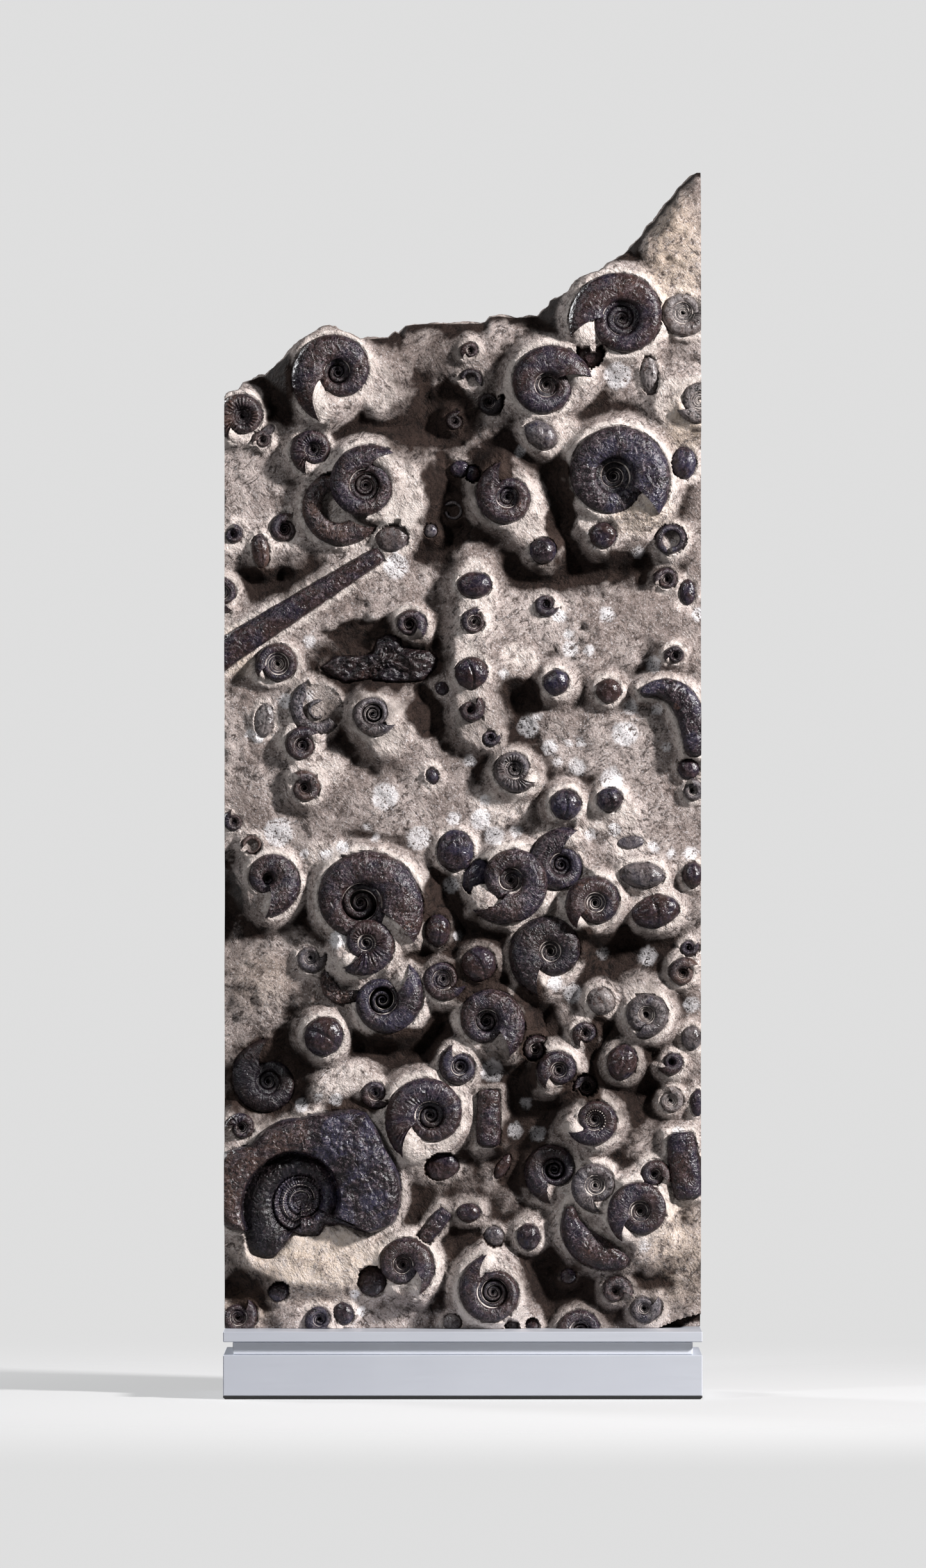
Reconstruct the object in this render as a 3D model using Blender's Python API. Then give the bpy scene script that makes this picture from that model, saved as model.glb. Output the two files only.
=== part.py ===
"""Ammonite cluster plate: a sawn limestone slab crowded with fossil shells, standing on a metal plinth.

The front faces -Y, +Z is up, and the origin is on the floor under the middle of the plinth. Lengths are
written in millimetres and become metres when a mesh is made. "Relief" is how far a point of the front
stands out towards the viewer from the slab's middle plane, y = 0.
"""

import math
from typing import Callable, NamedTuple

import bmesh
import bpy
from mathutils import Vector, noise
from mathutils.geometry import delaunay_2d_cdt

MM = 0.001

# Plinth, from the floor up.
PLINTH_WIDTH = 500.0
PLINTH_DEPTH = 200.0
FOOT_TOP = 3.0
FOOT_CHAMFER = 2.0
BLOCK_TOP = 46.0
NECK_TOP = 59.4
NECK_INSET = 10.0
CAP_TOP = 70.4
EDGE_BEVEL = 0.8
FIT_GAP = 0.3

# Slab.
SLAB_HALF_WIDTH = 250.0
SLAB_BOTTOM = CAP_TOP + FIT_GAP
BACK_RELIEF = -45.0
BACK_ROUGHNESS = 2.5
BACK_SPAN = 90.0
BACK_SEED = 7.0
BACK_STEP_X = 99.75
BACK_STEP_Z = 105.0
BACK_COLUMNS = range(-2, 3)
BACK_MARGIN = 15.0
BACK_TOP_PART = 0.5
TOP_EDGE = (
    (250, 1284), (242, 1281), (227, 1267), (209, 1243), (189, 1218), (175, 1203), (153, 1190),
    (129, 1177), (113, 1162), (92, 1149), (79, 1133), (38, 1132), (19, 1125), (-35, 1125), (-60, 1121),
    (-78, 1109), (-103, 1109), (-128, 1121), (-146, 1121), (-170, 1107), (-187, 1088), (-203, 1076),
    (-220, 1066), (-236, 1054), (-250, 1048),
)
BROKEN_CORNER = ((206, 70.7), (222, 77), (237, 82), (250, 85))
CORNER_RELIEF = -36.0
CORNER_STEP = 1.2

# Ground of the front, before the shells.
GROUND = 12.0
ROLL_HEIGHT = 5.0
ROLL_SPAN = 70.0
TOP_FALL = 22.0
TOP_ROUND = 30.0
TERRAIN_SPACING = 31.0
TERRAIN_STARTS = (0.9, 0.5)
SIDE_SPACING = 34.0

# How the rock meets a shell: a level rim, then a pedestal that falls away, or a pit that rises.
RIM = 1.2
PEDESTAL_SLOPE = 1.5
PIT_SLOPE = 1.0
FOOT_REACH = 11.0
FOOT_START = 4.0
FOOT_STEP = 1.0
FOOT_POINTS = 8

# Where a shell lies over another one, the lower one keeps this far away.
CLEARANCE = 2.0 * RIM + 2.6
CLEARANCE_STEP = 0.5

# Profile of a coil: parts of the outer radius, and parts of the height of the turn's crest.
SHOULDER = 0.42
SHOULDER_REACH = 0.985
SEAM_LEVEL = 0.45
SEAM_OVER_FLANK = 1.03
MIDDLE_LEVEL = 0.35
CREST_LIMIT = 0.85
SEAM_LIMIT = 0.8
INNER_LIMIT = 0.88

# Profiles of a round shell and of a straight one: part of the outline, part of the height.
DOME_PROFILE = ((1.0, 0.0), (0.97, SHOULDER), (0.62, 0.86))
RIBBON_PROFILE = ((1.0, 0.0), (0.94, SHOULDER), (0.45, 1.0))
DOME_SIDES = 9
LUMP_SIDES = 6
LUMP_CROWN = 0.55
LUMP_ROOM = 3.0


class Room(NamedTuple):
    """How far a new point of the front keeps from other points, from the seats and from the outline."""

    points: float
    seats: float
    outline: float


CROWN_ROOM = Room(0.0, 1.5, 2.0)
LUMP_FOOT_ROOM = Room(3.5, 2.0, 2.0)
PEDESTAL_ROOM = Room(8.0, 4.0, 5.0)
TERRAIN_ROOM = Room(17.05, 8.0, 8.0)


class Swell(NamedTuple):
    """A broad rise of the ground, or a hollow where the rise is negative."""

    x: float
    z: float
    half_width: float
    half_height: float
    rise: float


SWELLS = (
    Swell(-192, 1058, 24, 24, -9), Swell(-40, 1035, 46, 40, -11), Swell(-24, 935, 22, 45, -9),
    Swell(103, 935, 13, 48, -12), Swell(120, 858, 70, 15, -7), Swell(-205, 857, 34, 14, -11),
    Swell(-80, 765, 62, 24, -9), Swell(-22, 735, 24, 38, -9), Swell(66, 735, 18, 16, -8),
    Swell(-240, 520, 18, 48, -10), Swell(-208, 335, 50, 50, -14), Swell(76, 385, 14, 84, -9),
    Swell(98, 112, 44, 30, -11), Swell(-22, 510, 24, 40, -10), Swell(18, 440, 38, 36, -10),
    Swell(120, 322, 26, 24, -8), Swell(-60, 372, 60, 24, -8), Swell(150, 470, 44, 24, -7),
    Swell(92, 262, 24, 30, -8), Swell(38, 255, 38, 50, -5), Swell(208, 320, 30, 40, -6),
    Swell(-232, 118, 24, 22, -6), Swell(150, 378, 12, 24, -9), Swell(128, 604, 16, 18, -6),
    Swell(-76, 1075, 24, 38, 12), Swell(-58, 955, 24, 34, 12), Swell(78, 930, 12, 42, 10),
    Swell(100, 1012, 34, 26, 8), Swell(224, 1030, 34, 38, 14), Swell(165, 898, 54, 22, 10),
    Swell(16, 790, 26, 88, 11), Swell(42, 772, 18, 16, 7), Swell(-90, 618, 108, 38, 5),
    Swell(222, 1190, 34, 60, 8), Swell(150, 560, 40, 20, 5), Swell(218, 560, 26, 16, 8),
    Swell(-150, 146, 58, 26, 16), Swell(-148, 320, 50, 18, 12), Swell(-152, 420, 20, 34, 8),
    Swell(-214, 440, 34, 34, 8), Swell(192, 150, 40, 34, 7), Swell(176, 432, 30, 16, 6),
    Swell(174, 268, 28, 30, 7), Swell(-180, 82, 20, 24, 7), Swell(172, 690, 50, 28, 5),
    Swell(-200, 640, 28, 40, 5), Swell(-52, 690, 18, 26, 8), Swell(-190, 735, 40, 24, 4),
)


def spiral_turn(angle: float, aperture: float, turn: int) -> float:
    """How far back from the aperture, in degrees, the spiral passes this direction."""
    return ((aperture - angle) * turn) % 360.0


class Coil(NamedTuple):
    """A coiled shell seen from its side, as a logarithmic spiral.

    turn is 1 where the shell grows anticlockwise as seen from the front and -1 where it grows clockwise,
    radius is measured at the aperture, growth is the widening in one turn, and navel is where the inner
    seam of a turn runs, as a part of its outer radius. The shells named in under lie over this one.
    """

    name: str
    x: float
    z: float
    turn: int
    aperture: float
    radius: float
    growth: float
    navel: float
    seat: float
    thick: float
    under: tuple = ()

    def reach(self, angle: float) -> float:
        """Outer radius in a direction, in degrees."""
        back = spiral_turn(angle, self.aperture, self.turn)
        return self.radius * self.growth ** (-back / 360.0)

    @property
    def steps(self) -> int:
        """Facets in one turn, more on a large shell."""
        if self.radius >= 45:
            return 15
        return 12 if self.radius >= 28 else 10

    @property
    def crest(self) -> float:
        """Where the crest of the last turn runs at the aperture, as a part of the outer radius."""
        return (1.0 + self.navel) / 2.0

    @property
    def inner_crest(self) -> float:
        """Where the crest of the turn before runs, in the same direction."""
        return min(self.crest / self.growth, self.navel * INNER_LIMIT)

    @property
    def seam_level(self) -> float:
        """Height of the seam, which lies on the flank of the turn before, as a part of the crest's."""
        along = (self.navel - self.inner_crest) / (SHOULDER_REACH / self.growth - self.inner_crest)
        flank = (1.0 - (1.0 - SHOULDER) * along) / self.growth
        return max(SEAM_LEVEL, flank * SEAM_OVER_FLANK)


class Dome(NamedTuple):
    """A round or oval shell, or a lump of the rock, with its half sizes and tilt in degrees."""

    name: str
    x: float
    z: float
    half_width: float
    half_height: float
    tilt: float
    seat: float
    thick: float

    def reach(self, angle: float) -> float:
        """Radius in a direction, in degrees."""
        turned = math.radians(angle - self.tilt)
        return 1.0 / math.hypot(math.cos(turned) / self.half_width, math.sin(turned) / self.half_height)


class Ribbon(NamedTuple):
    """A straight shell or a length of body chamber, along a path with a half width at each point."""

    name: str
    path: tuple
    half_widths: tuple
    seat: float
    thick: float


COILS = (
    Coil("ammonite_01", 167, 1129, 1, 200, 58, 1.83, 0.43, 30, 16),
    Coil("ammonite_02", -131, 1073, 1, 251, 56, 2.2, 0.35, 34, 16),
    Coil("ammonite_03", 88, 1059, -1, 10, 49, 1.95, 0.38, 32, 15),
    Coil("ammonite_04", 248, 1043, -1, 200, 26, 1.5, 0.4, 34, 9),
    Coil("ammonite_05", -231, 1027, 1, 240, 29, 1.62, 0.42, 22, 12),
    Coil("ammonite_06", -157, 992, 1, 255, 27, 1.84, 0.4, 22, 10),
    Coil("ammonite_07", 158, 964, -1, 320, 63, 1.69, 0.4, 38, 18),
    Coil("ammonite_08", -102, 954, -1, 48, 46, 1.8, 0.44, 36, 14),
    Coil("ammonite_09", 47, 942, -1, 100, 38, 1.9, 0.4, 34, 14),
    Coil("ammonite_10", -56, 809, -1, 318, 20, 2.0, 0.4, 20, 10),
    Coil("ammonite_11", -194, 767, 1, 215, 25, 1.45, 0.45, 20, 11),
    Coil("ammonite_12", -94, 715, 1, 335, 26, 1.79, 0.45, 34, 11),
    Coil("ammonite_13", -169, 682, -1, 35, 22, 1.8, 0.4, 24, 9),
    Coil("ammonite_14", 54, 657, 1, 330, 27, 1.8, 0.44, 26, 12),
    Coil("ammonite_15", -166, 637, 1, 125, 20, 1.83, 0.42, 26, 8),
    Coil("ammonite_16", 103, 557, -1, 63, 41, 2.1, 0.4, 20, 13, ("ammonite_17", "ammonite_20")),
    Coil("ammonite_17", 50, 541, -1, 218, 51, 2.0, 0.36, 34, 15),
    Coil("ammonite_18", -204, 542, -1, 265, 42, 2.6, 0.2, 28, 14),
    Coil("ammonite_19", -107, 517, -1, 323, 71, 2.2, 0.42, 34, 18, ("ammonite_21",)),
    Coil("ammonite_20", 139, 517, 1, 235, 34, 1.6, 0.39, 34, 14),
    Coil("ammonite_21", -101, 475, -1, 225, 37, 1.91, 0.36, 40, 11),
    Coil("ammonite_22", 92, 466, 1, 255, 50, 1.95, 0.4, 24, 15, ("ammonite_17", "ammonite_20")),
    Coil("ammonite_23", -21, 437, 1, 345, 25, 1.65, 0.45, 30, 9),
    Coil("ammonite_24", -84, 415, 1, 55, 48, 2.3, 0.42, 30, 15, ("ammonite_21", "ammonite_23")),
    Coil("ammonite_25", 192, 400, -1, 240, 25, 1.25, 0.4, 30, 12),
    Coil("ammonite_26", 25, 393, -1, 303, 45, 2.1, 0.36, 28, 15),
    Coil("ammonite_27", -3, 345, -1, 107, 25, 1.85, 0.42, 26, 11),
    Coil("ammonite_28", 101, 342, 1, 235, 25, 1.75, 0.42, 32, 11),
    Coil("ammonite_29", -204, 329, -1, 88, 46, 2.0, 0.42, 4, 11),
    Coil("ammonite_30", -34, 294, 1, 237, 53, 2.05, 0.4, 36, 15, ("ammonite_27",)),
    Coil("ammonite_31", 138, 290, -1, 205, 31, 1.95, 0.44, 36, 10),
    Coil("ammonite_32", 96, 237, 1, 265, 37, 2.1, 0.4, 10, 12, ("ammonite_33",)),
    Coil("ammonite_33", 139, 221, 1, 282, 29, 1.6, 0.4, 28, 10, ("ammonite_34",)),
    Coil("ammonite_34", 186, 194, 1, 240, 37.5, 1.6, 0.38, 36, 14),
    Coil("ammonite_35", -63, 138, -1, 298, 37, 1.9, 0.4, 32, 12),
    Coil("ammonite_36", 32, 109, -1, 98, 41, 1.8, 0.46, 38, 15),
)

ROUND_SHELLS = (
    Dome("round_shell_1", 108, 620, 16, 16.5, 0, 30, 14),
    Dome("round_shell_2", 154, 625, 13.5, 13, 0, 28, 13),
    Dome("round_shell_3", -8, 571, 19, 22, 0, 18, 12),
    Dome("round_shell_4", 188, 546, 24, 13.5, -4, 28, 13),
    Dome("round_shell_5", 202, 508, 25, 17, 12, 26, 12),
    Dome("round_shell_6", -26, 488, 13, 17, 0, 26, 14),
    Dome("round_shell_7", 17, 453, 18, 18, 0, 30, 13),
    Dome("round_shell_8", -146, 377, 21, 20, 0, 30, 14),
)

RIBBONS = (
    Ribbon("orthocone_long", ((-268, 767.5), (-180, 823.5), (-93, 879)), (16.5, 13, 9), 22, 12),
    Ribbon("orthocone_upright", ((27.5, 321), (27, 292), (27, 262)), (11.5, 12.5, 12.5), 20, 12),
    Ribbon("orthocone_thick", ((228, 276), (232, 242), (237, 207)), (14, 17, 15), 22, 14),
    Ribbon(
        "body_chamber_right",
        ((186, 737), (203, 744), (222, 739), (236, 724), (242, 700), (243, 671)),
        (4, 9, 14, 15, 14, 9), 26, 13,
    ),
    Ribbon(
        "body_chamber_low",
        ((112, 199), (113, 176), (126, 158), (149, 146), (174, 140)),
        (5, 13, 18, 17, 6), 22, 15,
    ),
)

# The giant, as its outer edge and the edge of its deep navel: direction in degrees and radius.
GIANT_NAME = "giant_ammonite"
GIANT_CENTRE = (-169.0, 204.0)
GIANT_SEAT = 24.0
GIANT_CREST = 24.0
GIANT_INNER_CREST = 6.0
GIANT_FACETS = 26
GIANT_LONG_STRETCH = 22.0
GIANT_SHOULDER = (0.985, 0.45)
GIANT_CREST_PLACE = 0.45
GIANT_WALL_TOP = 0.85
GIANT_WALL_FOOT = (0.94, 0.16)
GIANT_LOBE_SHOULDER = (0.97, 0.5)
GIANT_LOBE_REACH = 70.0
GIANT_LOBE_PROFILE = ((0.86, 1.0), (0.7, 1.0), (0.62, 0.7))
GIANT_CORE = (12.0, 0.5)
GIANT_MIDDLE = 0.3
GIANT_EDGE = (
    (-14, 99), (0, 104), (15, 106), (33, 106), (47, 112), (54, 115), (62, 110), (73, 98), (90, 88),
    (104, 88), (117, 85), (132, 79), (148, 97), (180, 92), (197, 86), (209, 67), (226, 77), (243, 68),
    (254, 34), (276, 37), (297, 40), (315, 35), (330, 48), (334, 78),
)
GIANT_NAVEL = ((-23, 36), (16, 40), (50, 44), (77, 48), (107, 53), (135, 55), (168, 60), (193, 62))

# Small shells and lumps that are fused to the rock: centre, half sizes, seat and thickness.
LUMPS = (
    (-210, 1002, 12, 11, 18, 8), (-158, 926, 14, 34, 20, 9), (-187, 909, 17, 19, 16, 9),
    (-212, 886, 9, 16, 16, 8), (-239, 903, 8, 12, 14, 8), (-238, 841, 10, 18, 16, 9),
    (-72, 899, 14, 12, 24, 9), (-34, 907, 7, 7, 18, 5), (-8, 1022, 12, 12, 3, 8),
    (28, 1042, 15, 16, 4, 9), (7, 1067, 13, 9, 8, 5), (8, 1096, 11, 11, 14, 7), (-10, 928, 11, 11, 14, 8),
    (4, 970, 13, 11, 6, 7), (84, 886, 14, 14, 26, 12), (82, 1006, 17, 12, 28, 12),
    (226, 1137, 20, 22, 20, 10), (134, 1093, 13, 14, 12, 10), (196, 1069, 9, 19, 16, 7),
    (147, 901, 14, 13, 30, 10), (217, 898, 16, 16, 26, 8), (214, 856, 14, 14, 12, 9),
    (236, 843, 8, 13, 10, 7), (235, 978, 11, 17, 18, 9), (223, 776, 12, 11, 26, 9),
    (98, 748, 13, 13, 28, 12), (153, 739, 13, 13, 22, 10), (87, 830, 15, 15, 14, 9),
    (12, 811, 15, 15, 28, 10), (12, 850, 18, 14, 28, 11), (9, 760, 17, 17, 28, 12),
    (8, 720, 17, 16, 27, 12), (29, 690, 11, 10, 22, 9), (-82, 770, 44, 16, 10, 9),
    (-141, 722, 17, 22, 20, 7), (-208, 708, 10, 17, 14, 6), (-22, 742, 7, 7, 16, 6),
    (234, 633, 12, 12, 16, 9), (239, 547, 9, 13, 18, 12), (228, 443, 16, 19, 20, 12),
    (8, 536, 9, 14, 10, 7), (-238, 602, 10, 13, 12, 8), (-221, 577, 11, 11, 14, 6),
    (-32, 650, 6, 8, 14, 5), (-160, 459, 17, 15, 20, 8), (-136, 426, 12, 12, 20, 8),
    (-231, 281, 16, 17, 20, 10), (-97, 320, 11, 14, 22, 8), (-96, 119, 13, 15, 14, 9),
    (-22, 239, 17, 13, 8, 7), (-30, 178, 12, 16, 18, 8), (-193, 108, 11, 10, 14, 7),
    (-233, 84, 14, 10, 8, 8), (-146, 86, 18, 13, 18, 10), (70, 366, 9, 12, 12, 8),
    (129, 378, 14, 15, 22, 9), (145, 415, 13, 14, 24, 8), (167, 350, 15, 18, 26, 13),
    (219, 350, 15, 13, 20, 11), (240, 375, 8, 13, 18, 9), (131, 327, 12, 9, 8, 7),
    (219, 309, 14, 14, 14, 8), (206, 237, 11, 11, 24, 10), (161, 108, 17, 13, 18, 11),
    (190, 90, 14, 14, 18, 12), (123, 85, 22, 9, 14, 10), (70, 166, 12, 14, 22, 12),
    (5, 193, 12, 9, 20, 9), (111, 125, 8, 8, 6, 5), (176, 580, 14, 8, 16, 5), (237, 470, 8, 14, 14, 6),
)


class Finish(NamedTuple):
    """Colour, metallic value and roughness of a surface."""

    colour: tuple
    metallic: float
    roughness: float


LIMESTONE = Finish((0.42, 0.37, 0.32), 0.0, 0.85)
DARK_SHELL = Finish((0.055, 0.045, 0.05), 0.0, 0.38)
GREY_SHELL = Finish((0.16, 0.15, 0.16), 0.0, 0.45)
SATIN_METAL = Finish((0.62, 0.64, 0.70), 1.0, 0.38)
NECK_METAL = Finish((0.36, 0.38, 0.40), 1.0, 0.42)
BLACK_RUBBER = Finish((0.01, 0.01, 0.01), 0.0, 0.6)


def polar(x: float, z: float, angle: float, radius: float) -> Vector:
    """The point at a distance and a direction, in degrees, from (x, z)."""
    turned = math.radians(angle)
    return Vector((x + radius * math.cos(turned), z + radius * math.sin(turned)))


def between(pairs: tuple, angle: float) -> float:
    """Value at a direction, along a closed list of (direction, value) pairs."""
    closed = pairs + ((pairs[0][0] + 360.0, pairs[0][1]),)
    wrapped = (angle - pairs[0][0]) % 360.0 + pairs[0][0]
    for (low, start), (high, end) in zip(closed, closed[1:]):
        if low <= wrapped <= high:
            return start + (end - start) * (wrapped - low) / (high - low)
    return closed[-1][1]


COIL_BY_NAME = {coil.name: coil for coil in COILS}


def clear_reach(coil: Coil, angle: float, wanted: float) -> float:
    """The radius that a coil may have in a direction without entering the shells that lie over it."""
    radius = wanted
    for name in coil.under:
        other = COIL_BY_NAME[name]
        while radius > 1.0:
            point = polar(coil.x, coil.z, angle, radius)
            away = point - Vector((other.x, other.z))
            direction = math.degrees(math.atan2(away.y, away.x))
            if away.length >= other.reach(direction) + CLEARANCE:
                break
            radius -= CLEARANCE_STEP
    return radius


def coil_angles(coil: Coil) -> list[float]:
    """Directions of the facets of one turn, from the aperture back to the aperture."""
    return [coil.aperture - coil.turn * 360.0 * i / coil.steps for i in range(coil.steps + 1)]


def coil_rim(coil: Coil, spare: float = 0.0) -> list[Vector]:
    """Outline of a coil: one turn of its spiral, closed by the step of the aperture."""
    points = []
    for i, angle in enumerate(coil_angles(coil)):
        wanted = coil.radius * coil.growth ** (-i / coil.steps)
        radius = clear_reach(coil, angle, wanted)
        points.append(polar(coil.x, coil.z, angle, radius + spare))
    # The wider seat also steps sideways, past the plane of the aperture.
    if spare:
        facing = math.radians(coil.aperture + coil.turn * 90.0)
        step = Vector((math.cos(facing), math.sin(facing))) * spare
        points[0] += step
        points[-1] += step
    return points


def dome_rim(dome: Dome, spare: float = 0.0, sides: int = DOME_SIDES) -> list[Vector]:
    """Outline of a dome."""
    angles = [360.0 * i / sides + dome.tilt for i in range(sides)]
    return [polar(dome.x, dome.z, angle, dome.reach(angle) + spare) for angle in angles]


def ribbon_sides(ribbon: Ribbon, part: float = 1.0, spare: float = 0.0) -> tuple[list, list]:
    """Points along the two sides of a ribbon, at a part of its half width."""
    path = [Vector(point) for point in ribbon.path]
    left, right = [], []
    for i, point in enumerate(path):
        along = (path[min(i + 1, len(path) - 1)] - path[max(i - 1, 0)]).normalized()
        across = Vector((-along.y, along.x))
        if i == 0:
            point = point - along * spare
        if i == len(path) - 1:
            point = point + along * spare
        reach = ribbon.half_widths[i] * part + spare
        left.append(point + across * reach)
        right.append(point - across * reach)
    return left, right


def ribbon_rim(ribbon: Ribbon, spare: float = 0.0) -> list[Vector]:
    """Outline of a ribbon."""
    left, right = ribbon_sides(ribbon, 1.0, spare)
    return left + right[::-1]


def giant_angles() -> list[float]:
    """Directions of the giant's facets: at the corners of its edge, and halfway over long stretches."""
    angles = [pair[0] for pair in GIANT_EDGE]
    halves = [(a + b) / 2 for a, b in zip(angles, angles[1:]) if b - a > GIANT_LONG_STRETCH]
    return sorted(angles + halves)[:GIANT_FACETS]


def giant_rim(spare: float = 0.0) -> list[Vector]:
    """Outline of the giant."""
    return [polar(*GIANT_CENTRE, angle, between(GIANT_EDGE, angle) + spare) for angle in giant_angles()]


def keep_inside(points: list[Vector]) -> list[Vector]:
    """Cuts an outline along the sawn sides of the slab."""
    for side in (-1.0, 1.0):
        kept = []
        limit = side * SLAB_HALF_WIDTH
        for start, end in zip(points, points[1:] + points[:1]):
            inside = side * start.x <= SLAB_HALF_WIDTH
            if inside:
                kept.append(start)
            if inside != (side * end.x <= SLAB_HALF_WIDTH):
                part = (limit - start.x) / (end.x - start.x)
                kept.append(Vector((limit, start.y + (end.y - start.y) * part)))
        points = kept
    return points


def distance_to(rim: list[Vector], point: Vector) -> float:
    """Distance from a point to an outline, negative inside it."""
    nearest = math.inf
    inside = False
    for start, end in zip(rim, rim[1:] + rim[:1]):
        side = end - start
        part = max(0.0, min(1.0, (point - start).dot(side) / max(side.length_squared, 1e-9)))
        nearest = min(nearest, (point - start - side * part).length)
        if (start.y > point.y) != (end.y > point.y):
            crossing = start.x + side.x * (point.y - start.y) / side.y
            if crossing > point.x:
                inside = not inside
    return -nearest if inside else nearest


def slab_outline() -> list[Vector]:
    """Outline of the slab, anticlockwise as seen from the front, with points along its straight edges."""
    corners = [Vector((-SLAB_HALF_WIDTH, SLAB_BOTTOM)), Vector((SLAB_HALF_WIDTH, SLAB_BOTTOM))]
    corners += [Vector(point) for point in TOP_EDGE]
    points = []
    for start, end in zip(corners, corners[1:] + corners[:1]):
        pieces = max(1, round((end - start).length / SIDE_SPACING))
        points += [start.lerp(end, i / pieces) for i in range(pieces)]
    return points


OUTLINE = slab_outline()


def top_at(x: float) -> float:
    """Height of the broken top edge above a place."""
    for (right, high), (left, low) in zip(TOP_EDGE, TOP_EDGE[1:]):
        if left <= x <= right:
            return low + (high - low) * (x - left) / (right - left)
    return TOP_EDGE[0][1]


def ground(x: float, z: float) -> float:
    """Relief of the rock before any shell stands on it."""
    level = GROUND + ROLL_HEIGHT * noise.noise(Vector((x / ROLL_SPAN, z / ROLL_SPAN, 0.0)))
    for swell in SWELLS:
        across = (x - swell.x) / swell.half_width
        up = (z - swell.z) / swell.half_height
        level += swell.rise * math.exp(-across * across - up * up)
    below_top = top_at(x) - z
    if below_top < TOP_ROUND:
        level -= TOP_FALL * (1.0 - max(below_top, 0.0) / TOP_ROUND) ** 2
    return level


class Seat(NamedTuple):
    """A level place in the rock under a shell: its outline and its relief."""

    rim: list
    level: float


def seats() -> list[Seat]:
    """The seats of all shells that are pieces of their own."""
    found = [Seat(keep_inside(coil_rim(coil, RIM)), coil.seat) for coil in COILS]
    found += [Seat(keep_inside(dome_rim(dome, RIM)), dome.seat) for dome in ROUND_SHELLS]
    found += [Seat(keep_inside(ribbon_rim(ribbon, RIM)), ribbon.seat) for ribbon in RIBBONS]
    found.append(Seat(keep_inside(giant_rim(RIM)), GIANT_SEAT))
    return found


SEATS = seats()
LUMP_DOMES = [Dome("lump", x, z, half_x, half_z, 0.0, seat, thick)
              for x, z, half_x, half_z, seat, thick in LUMPS]


def relief(x: float, z: float) -> float:
    """Relief of the rock outside the seats: the ground, raised to pedestals and lowered to pits."""
    point = Vector((x, z))
    lowest, highest = -math.inf, math.inf
    for seat in SEATS:
        reach = distance_to(seat.rim, point)
        lowest = max(lowest, seat.level - PEDESTAL_SLOPE * max(reach, 0.0))
        highest = min(highest, seat.level + PIT_SLOPE * max(reach, 0.0))
    for lump in LUMP_DOMES:
        away = point - Vector((lump.x, lump.z))
        reach = max(0.0, away.length - lump.reach(math.degrees(math.atan2(away.y, away.x))))
        lowest = max(lowest, lump.seat - PEDESTAL_SLOPE * reach)
    return min(max(ground(x, z), lowest), highest)


class Sheet:
    """Points of the front and the edges that must be kept between them."""

    def __init__(self) -> None:
        self.points: list[Vector] = []
        self.reliefs: list[float] = []
        self.edges: list[tuple[int, int]] = []

    def add(self, point: Vector, level: float) -> None:
        """Adds a point with its relief."""
        self.points.append(point)
        self.reliefs.append(level)

    def add_ring(self, rim: list[Vector], level: float) -> None:
        """Adds a closed ring of points with its edges."""
        first = len(self.points)
        for point in rim:
            self.add(point, level)
        count = len(rim)
        self.edges += [(first + i, first + (i + 1) % count) for i in range(count)]

    def add_where_free(self, point: Vector, room: Room, level: float | None = None) -> None:
        """Adds a point that has the room it needs, on the rock's own relief if no level is given."""
        if any((point - other).length <= room.points for other in self.points):
            return
        if outside_seats(point, room.seats) and distance_to(OUTLINE, point) < -room.outline:
            self.add(point, relief(point.x, point.y) if level is None else level)


def outside_seats(point: Vector, room: float) -> bool:
    """Whether a point is clear of every seat."""
    return all(distance_to(seat.rim, point) > room for seat in SEATS)


def add_outline(sheet: Sheet) -> None:
    """Adds the slab's outline, with the two edges of its broken corner."""
    for point in OUTLINE:
        in_corner = point.y < SLAB_BOTTOM + 1.0 and point.x > BROKEN_CORNER[0][0]
        in_corner = in_corner or (point.x > SLAB_HALF_WIDTH - 1.0 and point.y < BROKEN_CORNER[-1][1])
        sheet.add(point, CORNER_RELIEF if in_corner else relief(point.x, point.y))
    count = len(OUTLINE)
    sheet.edges += [(i, (i + 1) % count) for i in range(count)]

    upper = [Vector(point) for point in BROKEN_CORNER]
    lower = [Vector((x + CORNER_STEP, z - CORNER_STEP)) for x, z in BROKEN_CORNER[1:-1]]
    lower = [Vector((BROKEN_CORNER[0][0] + 2 * CORNER_STEP, SLAB_BOTTOM))] + lower
    lower += [Vector((SLAB_HALF_WIDTH, BROKEN_CORNER[-1][1] - CORNER_STEP))]
    for line, deep in ((upper, False), (lower, True)):
        first = len(sheet.points)
        for point in line:
            sheet.add(point, CORNER_RELIEF if deep else relief(point.x, point.y))
        sheet.edges += [(first + i, first + i + 1) for i in range(len(line) - 1)]


def add_lumps(sheet: Sheet) -> None:
    """Adds the crown and the foot of each shell that is fused to the rock."""
    for lump in LUMP_DOMES:
        if not outside_seats(Vector((lump.x, lump.z)), LUMP_ROOM):
            continue
        small = lump._replace(
            half_width=lump.half_width * LUMP_CROWN, half_height=lump.half_height * LUMP_CROWN
        )
        for point in dome_rim(small, 0.0, LUMP_SIDES):
            sheet.add_where_free(point, CROWN_ROOM, lump.seat + lump.thick)
        for point in dome_rim(lump, 0.0, LUMP_SIDES):
            sheet.add_where_free(point, LUMP_FOOT_ROOM)


def add_pedestal_feet(sheet: Sheet) -> None:
    """Adds points around the foot of each pedestal."""
    for seat in SEATS:
        middle = sum(seat.rim, Vector((0.0, 0.0))) / len(seat.rim)
        for i in range(FOOT_POINTS):
            sheet.add_where_free(far_side(seat.rim, middle, 360.0 * i / FOOT_POINTS), PEDESTAL_ROOM)


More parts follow.
